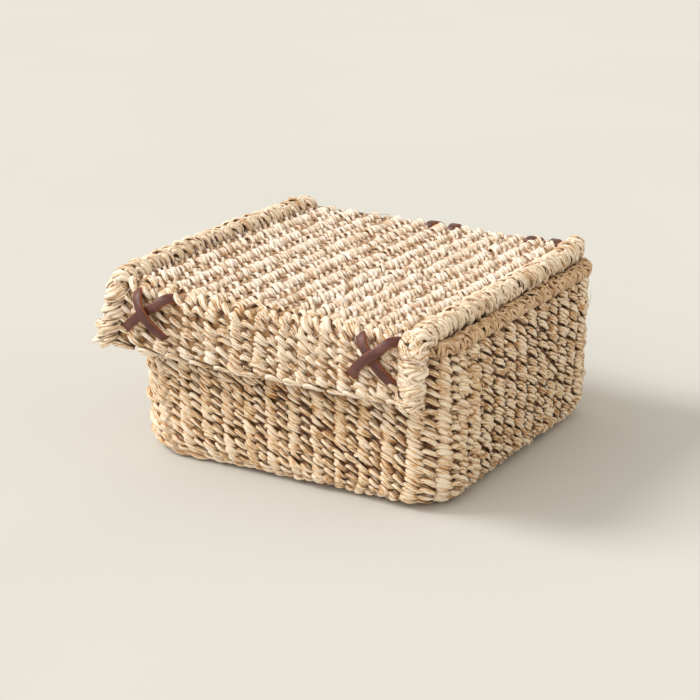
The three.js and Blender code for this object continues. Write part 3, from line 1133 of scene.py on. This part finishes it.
def add_piece(
    name: str, bundle: Bundle, face: Face, finish: bpy.types.Material, half: float, body: Body,
    nodes: Sequence[str] = (), turning: Optional[tuple] = None,
) -> None:
    """Lays tubes on a face and puts the piece on a body, unless it crosses the hinge.

    Args:
        name: Name of the piece.
        bundle: The tubes.
        face: Surface that they are laid on.
        finish: Material.
        half: Half the mat's thickness, over which painted shade grows towards the mat's middle, or 0 for
            none.
        body: Body that the piece rides on.
        nodes: CAD nodes that the piece stands for.
        turning: Start and end of the hinge crossing; when given, the piece is baked where it lies and put on
            no body, and the two ends are not used.
    """
    mesh = mesh_from(name, bundle, face, half)
    mesh.materials.append(finish)
    piece = bpy.data.objects.new(name, mesh)
    bpy.context.scene.collection.objects.link(piece)
    if turning:
        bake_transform(piece)
    else:
        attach(piece, body.value)
    if nodes:
        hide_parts(*nodes)
    LOG.info("%s: %d points on %s", name, len(mesh.vertices), body.value)


@dataclass(frozen=True)
class Stakes:
    """Flat bundles of straw across the courses, which the twine is wound round.

    Attributes:
        half_width: Half the width of a stake.
        half_thickness: Half its thickness.
        step: Distance between its sections.
        sway: How far it strays from its place.
        sway_waves: Most waves of that straying.
    """

    half_width: float = 3.8
    half_thickness: float = 0.8
    step: float = 3
    sway: float = 0.25
    sway_waves: int = 5

    def rods(self, places: Array, ends: Span, depth: float, seed: int) -> Bundle:
        """Oval tubes, one for each stake.

        Args:
            places: Distance along the course of each stake.
            ends: Where the stakes begin and end across the courses.
            depth: How far outside the mat's middle they lie.
            seed: Seed of the hand-made shifts.

        Returns:
            The tubes.
        """
        rng = np.random.default_rng(seed)
        count = max(int((ends[1] - ends[0]) / self.step), 2)
        run = np.broadcast_to(np.linspace(*ends, count), (len(places), count))
        stray = wander(rng, (len(places),), np.linspace(0, 1, count), self.sway_waves)
        side = places[:, None] + self.sway * stray
        centre = np.stack([side, run, np.full_like(side, depth)], axis=-1)
        section = circle(CORD_SIDES) * np.array([self.half_width, self.half_thickness])
        # The stakes' low tone is painted shade of the gaps.
        return tubes_from(centre, OUTWARD, section, np.full(side.shape, GAP_SHADE_TONE))


@dataclass(frozen=True)
class StrayFibres:
    """Loose ends of fibre that curl off a mat.

    Attributes:
        count: How many.
        length: Least and most length.
        curl: Usual bend along a fibre, in radians.
        sunk: How far its root lies below the stitches.
        rise: Least and most height of its arc.
        arc: Least and most angle of the sine that it rises by.
        half_width: Least and most half width of its root.
        taper: Share of that width which is gone at its tip.
        samples: Places worked out along it.
        sides: Sides of its section.
    """

    count: int
    length: Span = (4, 12)
    curl: float = 1.2
    sunk: float = 0.6
    rise: Span = (0.3, 2.2)
    arc: Span = (1.5, 3.0)
    half_width: Span = (0.1, 0.22)
    taper: float = 0.6
    samples: int = 9
    sides: int = 3

    def tubes(self, along: Span, across: Span, surface: float, seed: int) -> Bundle:
        """Thin tubes that bend evenly along the mat and rise from it as part of a sine.

        Args:
            along: Ends of the mat along the courses.
            across: Ends of the mat across the courses.
            surface: Height of the stitches above the mat's middle.
            seed: Seed of their places.

        Returns:
            One tube for each fibre.
        """
        rng = np.random.default_rng(seed)
        each = (self.count, 1)
        share = np.linspace(0, 1, self.samples)
        start = rng.uniform(*zip(along, across), size=(self.count, 2))
        heading = rng.uniform(0, 2 * math.pi, size=each)
        length = rng.uniform(*self.length, size=each)
        heading = heading + rng.normal(0, self.curl, size=each) * share
        u = start[:, :1] + length * share * np.cos(heading)
        w = start[:, 1:] + length * share * np.sin(heading)
        rise = rng.uniform(*self.rise, size=each)
        d = surface - self.sunk + rise * np.sin(rng.uniform(*self.arc, size=each) * share)
        width = rng.uniform(*self.half_width, size=(self.count, 1, 1, 1))
        section = width * (1 - self.taper * share)[None, :, None, None] * circle(self.sides)
        return tubes_from(np.stack([u, w, d], axis=-1), OUTWARD, section, np.full(u.shape, STRAY_TONE))


@dataclass
class Basket:
    """The basket: twined wall, rim border and flat base."""

    twine: bpy.types.Material
    # The rim's finish, darker with painted shade of the lid.
    border: bpy.types.Material
    # Straw of the stakes, dark with painted shade of the gaps.
    straw: bpy.types.Material
    wall: WallFace = field(default_factory=WallFace)
    base: BaseFace = field(default_factory=BaseFace)
    courses: int = 17
    front_stitches: int = 25
    side_stitches: int = 27
    courses_in_piece: int = 4
    thick_course: int = 1
    thick_girth: float = 1.2
    twining: Twining = Twining(sway=2.5, depth=2.1, radius=2.12, uneven=0.42)
    stakes: Stakes = Stakes()
    stake_foot: float = 2
    stray_fibres: StrayFibres = StrayFibres(160)
    stray_foot: float = 12
    rim: Arches = Arches(
        cords=4, span=13.5, core=0.3, top=2.0, foot=-0.6, radius=0.88, half_width=5.4, half_height=4.9,
        lean=2.0, uneven=0.45)
    rim_height: float = 8
    rim_stitches: int = 2
    base_courses: int = 27
    base_stitches: int = 24
    base_samples: int = 6
    base_half: float = 85.7

    @property
    def rim_middle(self) -> float:
        """Length up the outside of the wall to the middle of the rim."""
        return self.wall.rise + self.rim_height / 2

    def build(self) -> None:
        """Makes all pieces of the basket."""
        self.build_wall()
        self.build_rim()
        self.build_base()

    def stake_course(self) -> Course:
        """The course round the walls, with more stakes to the side walls than to the front."""
        sides = [self.front_stitches, self.side_stitches] * 2
        return Course(tuple(np.cumsum([0, *sides]).tolist()), self.wall.marks(), True)

    def build_wall(self) -> None:
        """Twined courses in bands of a few courses each, stray fibres and the stakes inside."""
        course = self.stake_course()
        girths = np.where(np.arange(self.courses) == self.thick_course, self.thick_girth, 1.0)
        bundle = self.twining.courses(course, evenly(0, self.wall.rise, self.courses), girths, Seed.WALL)
        each = 2 * PLIES
        half = self.wall.thickness / 2
        for first in range(0, self.courses, self.courses_in_piece):
            last = min(first + self.courses_in_piece, self.courses)
            name = f"wall_courses_{first // self.courses_in_piece + 1}"
            part = bundle.part(first * each, last * each)
            add_piece(name, part, self.wall, self.twine, half, Body.BASKET, ["wall_band"])
        loose = self.stray_fibres.tubes(
            (0, course.marks[-1]), (self.stray_foot, self.wall.rise), half, Seed.WALL_STRAYS)
        add_piece("wall_stray_fibres", loose, self.wall, self.twine, 0, Body.BASKET)
        places = course.along(np.arange(course.stitches, dtype=float))
        rods = self.stakes.rods(places, (self.stake_foot, self.rim_middle), 0, Seed.WALL_STAKES)
        add_piece("wall_stakes", rods, self.wall, self.straw, 0, Body.BASKET)

    def build_rim(self) -> None:
        """Nested loops over both sides of the rim, and the twined roll that they hold."""
        course = self.stake_course()
        roll = self.twining.courses(course, np.array([self.rim_middle]), np.ones(1), Seed.RIM_ROLL)
        add_piece("rim_roll", roll, self.wall, self.border, 0, Body.BASKET)
        for name, side, first, seed in (
            ("rim_outer_loops", 1, 0.0, Seed.RIM_OUTSIDE),
            ("rim_inner_loops", -1, 1.0, Seed.RIM_INSIDE),
        ):
            spots = np.arange(0, course.stitches, self.rim_stitches) + first
            bundle = self.rim.loops(course.along(spots), seed).along_course(self.rim_middle, side)
            add_piece(name, bundle, self.wall, self.border, 0, Body.BASKET, ["rim_border"])

    def build_base(self) -> None:
        """Twined courses across the flat base, and their stakes."""
        ends = (-self.base_half, self.base_half)
        course = Course((0, self.base_stitches), ends, False, self.base_samples)
        heights = evenly(*ends, self.base_courses)
        bundle = self.twining.courses(course, heights, np.ones(self.base_courses), Seed.BASE)
        half = self.base.thickness / 2
        add_piece("base_courses", bundle, self.base, self.twine, half, Body.BASKET, ["base_mat"])
        places = course.along(np.arange(1, self.base_stitches, dtype=float))
        rods = self.stakes.rods(places, ends, 0, Seed.BASE_STAKES)
        add_piece("base_stakes", rods, self.base, self.straw, 0, Body.BASKET)


@dataclass
class Lid:
    """The lid: one twined mat over the top and down the flap, with rolled borders and a looped hem."""

    # The top takes the lit copy of the lid's fibre; the flap, its end and the hem take the shaded copy.
    twine: bpy.types.Material
    shaded_twine: bpy.types.Material
    border: bpy.types.Material
    # Straw of the stakes and cores, dark with painted shade of the gaps.
    straw: bpy.types.Material
    face: LidFace = field(default_factory=LidFace)
    thickness: float = 8
    border_diameter: float = 11.5
    flap_courses: int = 6
    top_courses: int = 33
    fold_rise: float = 4.9
    stitches: int = 26
    mat_inset: float = 8.625
    wide_share: float = 0.56
    flap: Twining = Twining(sway=2.3, depth=2.1, radius=2.45, uneven=0.46)
    top: Twining = Twining(
        sway=3.4, depth=1.5, radius=2.0, uneven=0.46, lead=0.5, slim=0.9, proud=0.7, overlap=0.25, reach=0.3,
        taper=0.25, stagger=0.8, lap=0.9)
    stakes: Stakes = Stakes()
    stake_depth: float = 0.8
    stake_rear: float = 2
    stray_fibres: StrayFibres = StrayFibres(170)
    stray_foot: float = 2
    roll: Twining = Twining(
        sway=4.4, depth=1.8, radius=1.5, uneven=0.5, lead=0.5, slim=0.8, proud=0.8, overlap=0.2, reach=0.2,
        taper=0.45, stagger=0.8, lap=0.9)
    roll_radius: float = 3.6
    roll_courses: int = 4
    roll_pitch: float = 5.2
    roll_foot: float = 1
    roll_rear: float = 2
    right_loops: Arches = Arches(
        cords=2, span=9.5, core=0.5, top=2.3, foot=-0.6, radius=0.95, half_width=6.5, half_height=6.0,
        lean=3.0, uneven=0.8)
    loop_pitch: float = 12.4
    loop_lead: float = 4
    loop_rear: float = 3
    end_wrap: Overcast = Overcast(
        cords=6, step=1.5, radius=1.12, half_width=8.3, half_height=6.4, crown=1.3, uneven=1.0)
    end_pitch: float = 9.0
    end_inset: float = 1
    end_foot: float = 3
    end_lead: float = 1
    tip_share: float = 0.75
    tip_length: float = 3.0
    core_radius: float = 3.4
    core_short: float = 3
    core_samples: int = 160
    core_sides: int = 8
    hem: Arches = Arches(
        cords=2, span=11.0, core=0.6, top=-0.45, foot=-1.5, radius=1.3, half_width=5.0, half_height=4.8,
        lean=3.0, uneven=0.7)
    hem_twine: Twining = Twining(
        sway=1.8, depth=2.1, radius=2.6, uneven=0.45, lead=0.5, slim=0.8, proud=0.9, reach=0.3, taper=0.25,
        stagger=0.6, cleft=0.46, lap=0.8)
    hem_height: float = 6
    hem_middle: float = 3.5
    hem_stitches: int = 2

    @property
    def border_lift(self) -> float:
        """How far a border's middle lies above the mat's."""
        return (self.border_diameter - self.thickness) / 2

    def build(self) -> None:
        """Makes all pieces of the lid."""
        reach = self.border_diameter / 2
        left, right = self.face.left + reach, self.face.right - reach
        self.build_mat()
        self.build_roll("lid_left_roll", left, ["lid_left_border"])
        self.build_roll("lid_right_roll", right, [])
        self.build_right_loops(right)
        self.build_flap_end(right - self.end_inset)
        self.build_core("lid_left_core", left)
        self.build_core("lid_right_core", right)
        self.build_hem()

    def mat_course(self) -> Course:
        """Stakes of the mat between its two borders, a little wider apart on the left."""
        left, right = self.face.left + self.mat_inset, self.face.right - self.mat_inset
        half_way = left + self.wide_share * (right - left)
        return Course((0, self.stitches / 2, self.stitches), (left, half_way, right), False)

    def build_mat(self) -> None:
        """Twined courses from the hem up the flap and back over the top, fibres and stakes."""
        course = self.mat_course()
        fold = self.face.fold_start + self.fold_rise
        flap = evenly(self.hem_height, fold, self.flap_courses)
        front, rear = np.array_split(evenly(fold, self.face.length, self.top_courses), 2)
        half = self.thickness / 2
        for name, twining, finish, heights, seed in (
            ("lid_flap_courses", self.flap, self.shaded_twine, flap, Seed.FLAP),
            ("lid_front_courses", self.top, self.twine, front, Seed.LID_FRONT),
            ("lid_rear_courses", self.top, self.twine, rear, Seed.LID_REAR),
        ):
            bundle = twining.courses(course, heights, np.ones(len(heights)), seed)
            add_piece(name, bundle, self.face, finish, half, Body.LID, ["lid_mat"])
        loose = self.stray_fibres.tubes(
            (self.face.left, self.face.right), (self.stray_foot, self.face.length), half, Seed.LID_STRAYS)
        add_piece("lid_stray_fibres", loose, self.face, self.twine, 0, Body.LID)
        places = course.along(np.arange(1, self.stitches, dtype=float))
        ends = (self.hem_height / 2, self.face.length - self.stake_rear)
        rods = self.stakes.rods(places, ends, self.stake_depth, Seed.LID_STAKES)
        add_piece("lid_stakes", rods, self.face, self.straw, 0, Body.LID)

    def build_roll(self, name: str, x: float, nodes: Sequence[str]) -> None:
        """Twined courses, with w wound into an angle round one side of the lid.

        Args:
            name: Name of the piece.
            x: Middle of the border.
            nodes: CAD nodes that they stand for.
        """
        ends = (self.roll_foot, self.face.length - self.roll_rear)
        course = Course((0, round((ends[1] - ends[0]) / self.roll_pitch)), ends, False)
        heights = 2 * math.pi * self.roll_radius * np.arange(self.roll_courses) / self.roll_courses
        flat = self.roll.courses(course, heights, np.ones(self.roll_courses), Seed.LID_ROLL)
        run, angle = flat.points[..., 0], flat.points[..., 1] / self.roll_radius
        reach = self.roll_radius + flat.points[..., 2]
        points = np.stack(
            [x + reach * np.cos(angle), run, self.border_lift + reach * np.sin(angle)], axis=-1)
        rolled = replace(flat, points=points)
        add_piece(name, rolled, self.face, self.border, 0, Body.LID, nodes)

    def build_right_loops(self, x: float) -> None:
        """Curled loops over the lid's right side, whose middle is given."""
        start, end = self.face.fold_start - self.loop_lead, self.face.length - self.loop_rear
        places = np.linspace(start, end, round((end - start) / self.loop_pitch))
        bundle = self.right_loops.loops(places, Seed.LID_LOOPS).across_courses(x, self.border_lift)
        add_piece(
            "lid_right_loops", bundle, self.face, self.border, 0, Body.LID, ["lid_right_border"])

    def build_flap_end(self, x: float) -> None:
        """Cords wound round the flap's right end, whose middle is given, drawn in at the foot."""
        ends = (self.end_foot, self.face.fold_start - self.end_lead)
        turns = round((ends[1] - ends[0]) / self.end_pitch)
        cords = self.end_wrap.wraps(Course((0, turns), ends, False, SAMPLES_PER_TURN), Seed.FLAP_END)
        tip = self.tip_share + (1 - self.tip_share) * ease(cords.run / self.tip_length)
        cords = replace(cords, width=tip * cords.width, height=tip * cords.height)
        bundle = cords.across_courses(x, self.border_lift)
        add_piece(
            "flap_end_wrap", bundle, self.face, self.shaded_twine, 0, Body.LID,
            ["lid_right_border"])

    def build_core(self, name: str, x: float) -> None:
        """Straw inside a border, dark with painted shade of the gaps that it shows through."""
        spots = np.linspace(self.core_short, self.face.length - self.core_short, self.core_samples)[None, :]
        core = np.stack([np.full_like(spots, x), spots, np.full_like(spots, self.border_lift)], axis=-1)
        section = circle(self.core_sides) * self.core_radius
        rope = tubes_from(core, OUTWARD, section, np.full(spots.shape, GAP_SHADE_TONE))
        add_piece(name, rope, self.face, self.straw, 0, Body.LID)

    def build_hem(self) -> None:
        """Loops round the foot of the flap, and the heavier course that they hold."""
        course = self.mat_course()
        roll = self.hem_twine.courses(course, np.array([self.hem_middle]), np.ones(1), Seed.HEM_ROLL)
        add_piece("hem_roll", roll, self.face, self.shaded_twine, self.thickness / 2, Body.LID)
        places = course.along(np.arange(1.0, self.stitches, self.hem_stitches))
        bundle = self.hem.loops(places, Seed.HEM_LOOPS).along_course(self.hem_middle)
        add_piece("hem_loops", bundle, self.face, self.shaded_twine, 0, Body.LID, ["flap_hem"])


@dataclass(frozen=True)
class Diagonal:
    """One strip of a cross.

    Attributes:
        half_width: Half its reach from left to right.
        half_height: Half its reach in height, negative where it falls to the right.
        bend: How far its middle bends upwards on the flap.
    """

    half_width: float
    half_height: float
    bend: float


@dataclass
class Laces:
    """Leather laces: crosses on the flap, and loops that hinge the lid on the back wall.

    Attributes:
        leather: Material.
        face: The lid's mat.
        width: Width of the strip.
        thickness: Thickness of the strip.
        bevel: How much is cut off its long edges.
        bow: How far a strip bows out from the flap.
        clearance: Gap between strips, and between a strip and the mat.
        mat_thickness: Thickness of the mat.
        middle: Height of the crosses.
        diagonals: The two strips of a cross.
        front_places: Side, middle and slope of the upper strip of each cross.
        hinge_places: Side, middle and depth in the lid's edge of each loop.
        slot_depth: How far below the mat's face a bow starts.
        bow_rise: Height above the face that the bow first heads for.
        bow_pulls: Places of the bow's two inner controls, as shares of its reach.
        lid_top: Height of the lid's upper face.
        lid_underside: Height of its lower face.
        hinge_inside: Place of the strips inside the back wall.
        hinge_outside: Place of the strips behind it.
        hinge_foot: Height of their feet.
        hinge_drop: Fall of the strips behind the wall.
        hinge_halves: Half the distance between the strips at foot, inner top and outer edge.
        bend_ends: How far below and above the lid's lower face the strips cross the hinge.
        probe: Small step out of the mat, for finding which way it faces.
        steps: Sections of a strip.
    """

    leather: bpy.types.Material
    face: LidFace = field(default_factory=LidFace)
    width: float = 5.5
    thickness: float = 2.2
    bevel: float = 0.45
    bow: float = 2.2
    clearance: float = 0.3
    mat_thickness: float = 8
    middle: float = 87.0
    diagonals: tuple[Diagonal, ...] = (Diagonal(11.0, -12.0, 2.5), Diagonal(15.0, 11.5, 4.5))
    front_places: tuple[tuple[str, float, int], ...] = (("left", -77.0, -1), ("right", 66.5, 1))
    hinge_places: tuple[tuple[str, float, float], ...] = (
        ("left", -72.1, 4.6), ("middle", -3.8, 2.0), ("right", 64.5, 2.2))
    slot_depth: float = 3.0
    bow_rise: float = 1.0
    bow_pulls: Span = (0.8, 0.5)
    lid_top: float = 104.3
    lid_underside: float = 96.3
    hinge_inside: float = 90.1
    hinge_outside: float = 103.4
    hinge_foot: float = 74.0
    hinge_drop: float = 22.0
    hinge_halves: Triple = (11.0, 8.0, 5.0)
    bend_ends: Span = (6.0, 5.0)
    probe: float = 0.01
    steps: int = 56

    @property
    def crossing(self) -> float:
        """How much higher the upper strip of a cross passes."""
        return self.thickness + 2 * self.clearance

    def section(self) -> Array:
        """Flat strip with its four long edges cut off, (8, 2)."""
        across, thick, cut = self.width / 2, self.thickness / 2, self.bevel
        quarter = np.array([[across, thick - cut], [across - cut, thick]])
        signs = np.array([[1, 1], [-1, 1], [-1, -1], [1, -1]])
        corners = [quarter[::step] * sign for sign, step in zip(signs, (1, -1, 1, -1))]
        return np.concatenate(corners)

    def strip(self, line: Array, facing: Array) -> Bundle:
        """One strip of leather along a line."""
        return tubes_from(line[None], facing[None], self.section(), np.full((1, len(line)), MIDDLE_TONE))

    def laid_strip(self, line: Array, facing: Array) -> Bundle:
        """One strip along a line of the lid's fabric, of even width where the lid folds."""
        centre = self.face.place(line)
        return self.strip(centre, unit(self.face.place(line + self.probe * facing) - centre))

    def joined(self, strips: Sequence[Bundle]) -> Bundle:
        """Strips of equal counts as one set."""
        parts = [np.concatenate([getattr(s, a) for s in strips]) for a in ("points", "fibre", "tone")]
        return Bundle(*parts, False)

    def build(self) -> None:
        """Makes all laces."""
        for side, x, slope in self.front_places:
            self.build_cross(f"front_{side}_cross", x, slope, f"front_{side}_lace")
        for side, x, sunk in self.hinge_places:
            self.build_hinge(f"rear_{side}_loop", x, sunk, f"rear_{side}_hinge_lace")

    def build_cross(self, name: str, x: float, upper: int, node: str) -> None:
        """Two bowed strips that cross on the flap, and two behind it that join their ends.

        Args:
            name: Name of the piece.
            x: Middle of the cross.
            upper: Slope, 1 or -1, of the strip that lies on top.
            node: CAD node that it stands for.
        """
        face = self.mat_thickness / 2
        behind = -face - self.clearance - self.thickness / 2
        height = self.middle - self.face.flap_foot
        strips = []
        for diagonal in self.diagonals:
            reach = math.hypot(diagonal.half_width, diagonal.half_height)
            over = np.sign(diagonal.half_height) == upper
            crest = face + self.thickness / 2 + self.bow + (self.crossing if over else 0)
            first, second = (-pull * reach for pull in self.bow_pulls)
            up = bezier(
                (-reach, face - self.slot_depth), (first, face + self.bow_rise), (second, crest), (0, crest))
            down = up[::-1] * np.array([-1, 1])
            line = even(np.concatenate([[[-reach, behind]], up, down[1:], [[reach, behind]]]), self.steps)
            normal = left_normals(line)
            share = line[:, 0] / reach
            climb = share * diagonal.half_height + diagonal.bend * (1 - share * share)
            lay = unit(np.column_stack([
                np.full(self.steps, diagonal.half_width), diagonal.half_height - 2 * diagonal.bend * share]))
            centre = np.column_stack([x + share * diagonal.half_width, height + climb, line[:, 1]])
            facing = np.column_stack([normal[:, :1] * lay, normal[:, 1]])
            strips.append(self.laid_strip(centre, facing))
        for side in (-1, 1):
            rise = np.linspace(-1, 1, self.steps)
            halves = [d.half_width for d in self.diagonals]
            if side < 0:
                halves = halves[::-1]
            across = np.linspace(halves[1], halves[0], self.steps)
            top = max(abs(d.half_height) for d in self.diagonals) + self.width / 2
            centre = np.column_stack([x + side * across, height + rise * top, np.full(self.steps, behind)])
            strips.append(self.laid_strip(centre, np.broadcast_to(OUTWARD, centre.shape)))
        bundle = self.joined(strips)
        add_piece(name, bundle, OpenSpace(), self.leather, 0, Body.LID, [node])

    def hinge_line(self, bow: float, sunk: float) -> tuple[Array, Array]:
        """Side view of a hinge strip in (y, z), with the length up to each of its bends.

        Args:
            bow: How far the strip stands out behind the wall.
            sunk: How far it is pulled down into the lid's edge.

        Returns:
            Points of the strip, and the share of its length at the end of each run.
        """
        outside = self.hinge_outside + bow / 2
        crest = self.lid_top + self.thickness - sunk
        turn = self.thickness + self.clearance
        inside = [self.hinge_inside, self.lid_top - sunk]
        inner = np.array([[self.hinge_inside, self.hinge_foot - self.width / 2], inside])
        over = bezier(inner[1], (self.hinge_inside, crest), (outside, crest), (outside, self.lid_underside))
        down = bezier(
            over[-1], (outside + bow, self.lid_underside - self.hinge_drop / 3),
            (self.hinge_outside + bow, self.hinge_foot), (self.hinge_outside - turn, self.hinge_foot),
        )
        back = np.array([[self.hinge_inside, self.hinge_foot]])
        runs = [inner, over, down, np.concatenate([down[-1:], back])]
        lengths = np.cumsum([np.linalg.norm(np.diff(r, axis=0), axis=1).sum() for r in runs])
        line = np.concatenate([inner, over[1:], down[1:], back])
        return even(line, self.steps), lengths / lengths[-1]

    def build_hinge(self, name: str, x: float, sunk: float, node: str) -> None:
        """Two mirrored strips that run through lid and wall and cross outside the wall.

        Args:
            name: Name of the piece.
            x: Middle of the lacing.
            sunk: How far the lacing is pulled down into the lid's edge.
            node: CAD node that it stands for.
        """
        foot, top, edge = self.hinge_halves
        strips = []
        for side in (-1, 1):
            line, shares = self.hinge_line(self.crossing if side > 0 else 0, sunk)
            share = np.linspace(0, 1, self.steps)
            right = np.interp(share, [0, *shares], [foot, top, edge, -foot, -foot])
            centre = np.column_stack([x + side * right, line])
            facing = np.column_stack([np.zeros(self.steps), left_normals(line)])
            strips.append(self.strip(centre, facing))
        below, above = self.bend_ends
        start = (x * MM, self.hinge_outside * MM, (self.lid_underside - below) * MM)
        end = (x * MM, self.hinge_outside * MM, (self.lid_underside + above) * MM)
        bundle = self.joined(strips)
        add_piece(
            name, bundle, OpenSpace(), self.leather, 0, Body.LID, [node], turning=(start, end))


@dataclass
class Studio:
    """Pale floor, soft light and the camera."""

    floor_colour: Triple = (0.814, 0.81, 0.792)
    floor_half: float = 6.0
    cloud_scale: Triple = (3.0, 3.0, 3.0)
    cloud_dim: float = 0.97
    lens: float = 103.1
    sensor: float = 36
    azimuth: float = 30.65
    elevation: float = 18.70
    distance: float = 1.1885
    target: Triple = (-0.01511, 0.0, 0.04688)
    sky: float = 0.79
    sky_colour: Triple = (1.0, 0.95, 0.84)
    lamp_colour: Triple = (1.0, 0.99, 0.98)
    sun: float = 2.1
    fill: float = 0.95
    sun_from: Triple = (-1.0, -0.4, 0.93)
    fill_from: Triple = (-0.3, -1.0, 0.3)
    sun_width: float = 24.0
    fill_width: float = 100.0

    def build(self) -> None:
        """Makes the camera, the floor and the light."""
        self.build_camera()
        self.build_floor()
        self.build_light()

    def build_camera(self) -> None:
        """Camera at the angle of the photograph."""
        azimuth, elevation = math.radians(self.azimuth), math.radians(self.elevation)
        flat = math.cos(elevation)
        back = Vector((math.sin(azimuth) * flat, -math.cos(azimuth) * flat, math.sin(elevation)))
        data = bpy.data.cameras.new("photo_camera")
        data.lens = self.lens
        data.sensor_width = self.sensor
        camera = bpy.data.objects.new("photo_camera", data)
        camera.location = Vector(self.target) + back * self.distance
        camera.rotation_euler = (-back).to_track_quat("-Z", "Y").to_euler()
        bpy.context.scene.collection.objects.link(camera)
        bpy.context.scene.camera = camera

    def build_floor(self) -> None:
        """One wide pale floor under the basket."""
        half = self.floor_half
        mesh = bpy.data.meshes.new("floor")
        corners = [(-half, -half, 0), (half, -half, 0), (half, half, 0), (-half, half, 0)]
        mesh.from_pydata(corners, [], [(0, 1, 2, 3)])
        material = bpy.data.materials.new("floor_paper")
        graph = Graph(material)
        place = graph.node("ShaderNodeTexCoord", {}, {}, "Object")
        cloud = graph.noise(graph.scaled(place, self.cloud_scale), 2.0)
        paper = linear(self.floor_colour)
        dim = tuple(self.cloud_dim * c for c in paper)
        colour = graph.mix(cloud.between(0.3, 0.7), dim, paper)
        graph.surface({"Base Color": colour, "Roughness": 0.9, "Specular IOR Level": 0.1})
        mesh.materials.append(material)
        floor = bpy.data.objects.new("floor", mesh)
        bpy.context.scene.collection.objects.link(floor)

    def build_light(self) -> None:
        """An even sky, one lamp from the left and a weak broad one from the front."""
        world = bpy.data.worlds.new("studio")
        bpy.context.scene.world = world
        graph = Graph(world)
        inputs = {"Color": self.sky_colour, "Strength": self.sky}
        sky = graph.node("ShaderNodeBackground", {}, inputs, 0)
        out = graph.tree.nodes.new("ShaderNodeOutputWorld")
        graph.tree.links.new(sky.socket, out.inputs["Surface"])
        self.add_sun("key", self.sun, self.sun_from, self.sun_width)
        self.add_sun("fill", self.fill, self.fill_from, self.fill_width)

    def add_sun(self, name: str, energy: float, source: Triple, width: float) -> None:
        """A distant lamp of an apparent width in degrees, seen in the direction of its source."""
        data = bpy.data.lights.new(name, "SUN")
        data.energy = energy
        data.angle = math.radians(width)
        data.color = self.lamp_colour
        lamp = bpy.data.objects.new(name, data)
        lamp.rotation_euler = Vector(source).to_track_quat("Z", "Y").to_euler()
        bpy.context.scene.collection.objects.link(lamp)


def main() -> None:
    """Builds the studio, the basket, the lid and the laces."""
    logging.basicConfig(level=logging.INFO, format="%(name)s: %(message)s")
    bpy.context.scene.view_settings.view_transform = "Standard"
    Studio().build()
    finish = {fibre: fibre.value.material() for fibre in Fibre}
    leather = LeatherFinish("lace_leather").material()
    Basket(finish[Fibre.WALL], finish[Fibre.SHADED_RIM], finish[Fibre.SHADED_WALL_STRAW]).build()
    Lid(finish[Fibre.LIT_TOP], finish[Fibre.FLAP], finish[Fibre.BORDER], finish[Fibre.SHADED_LID_STRAW]).build()
    Laces(leather).build()


if __name__ == "__main__":
    main()
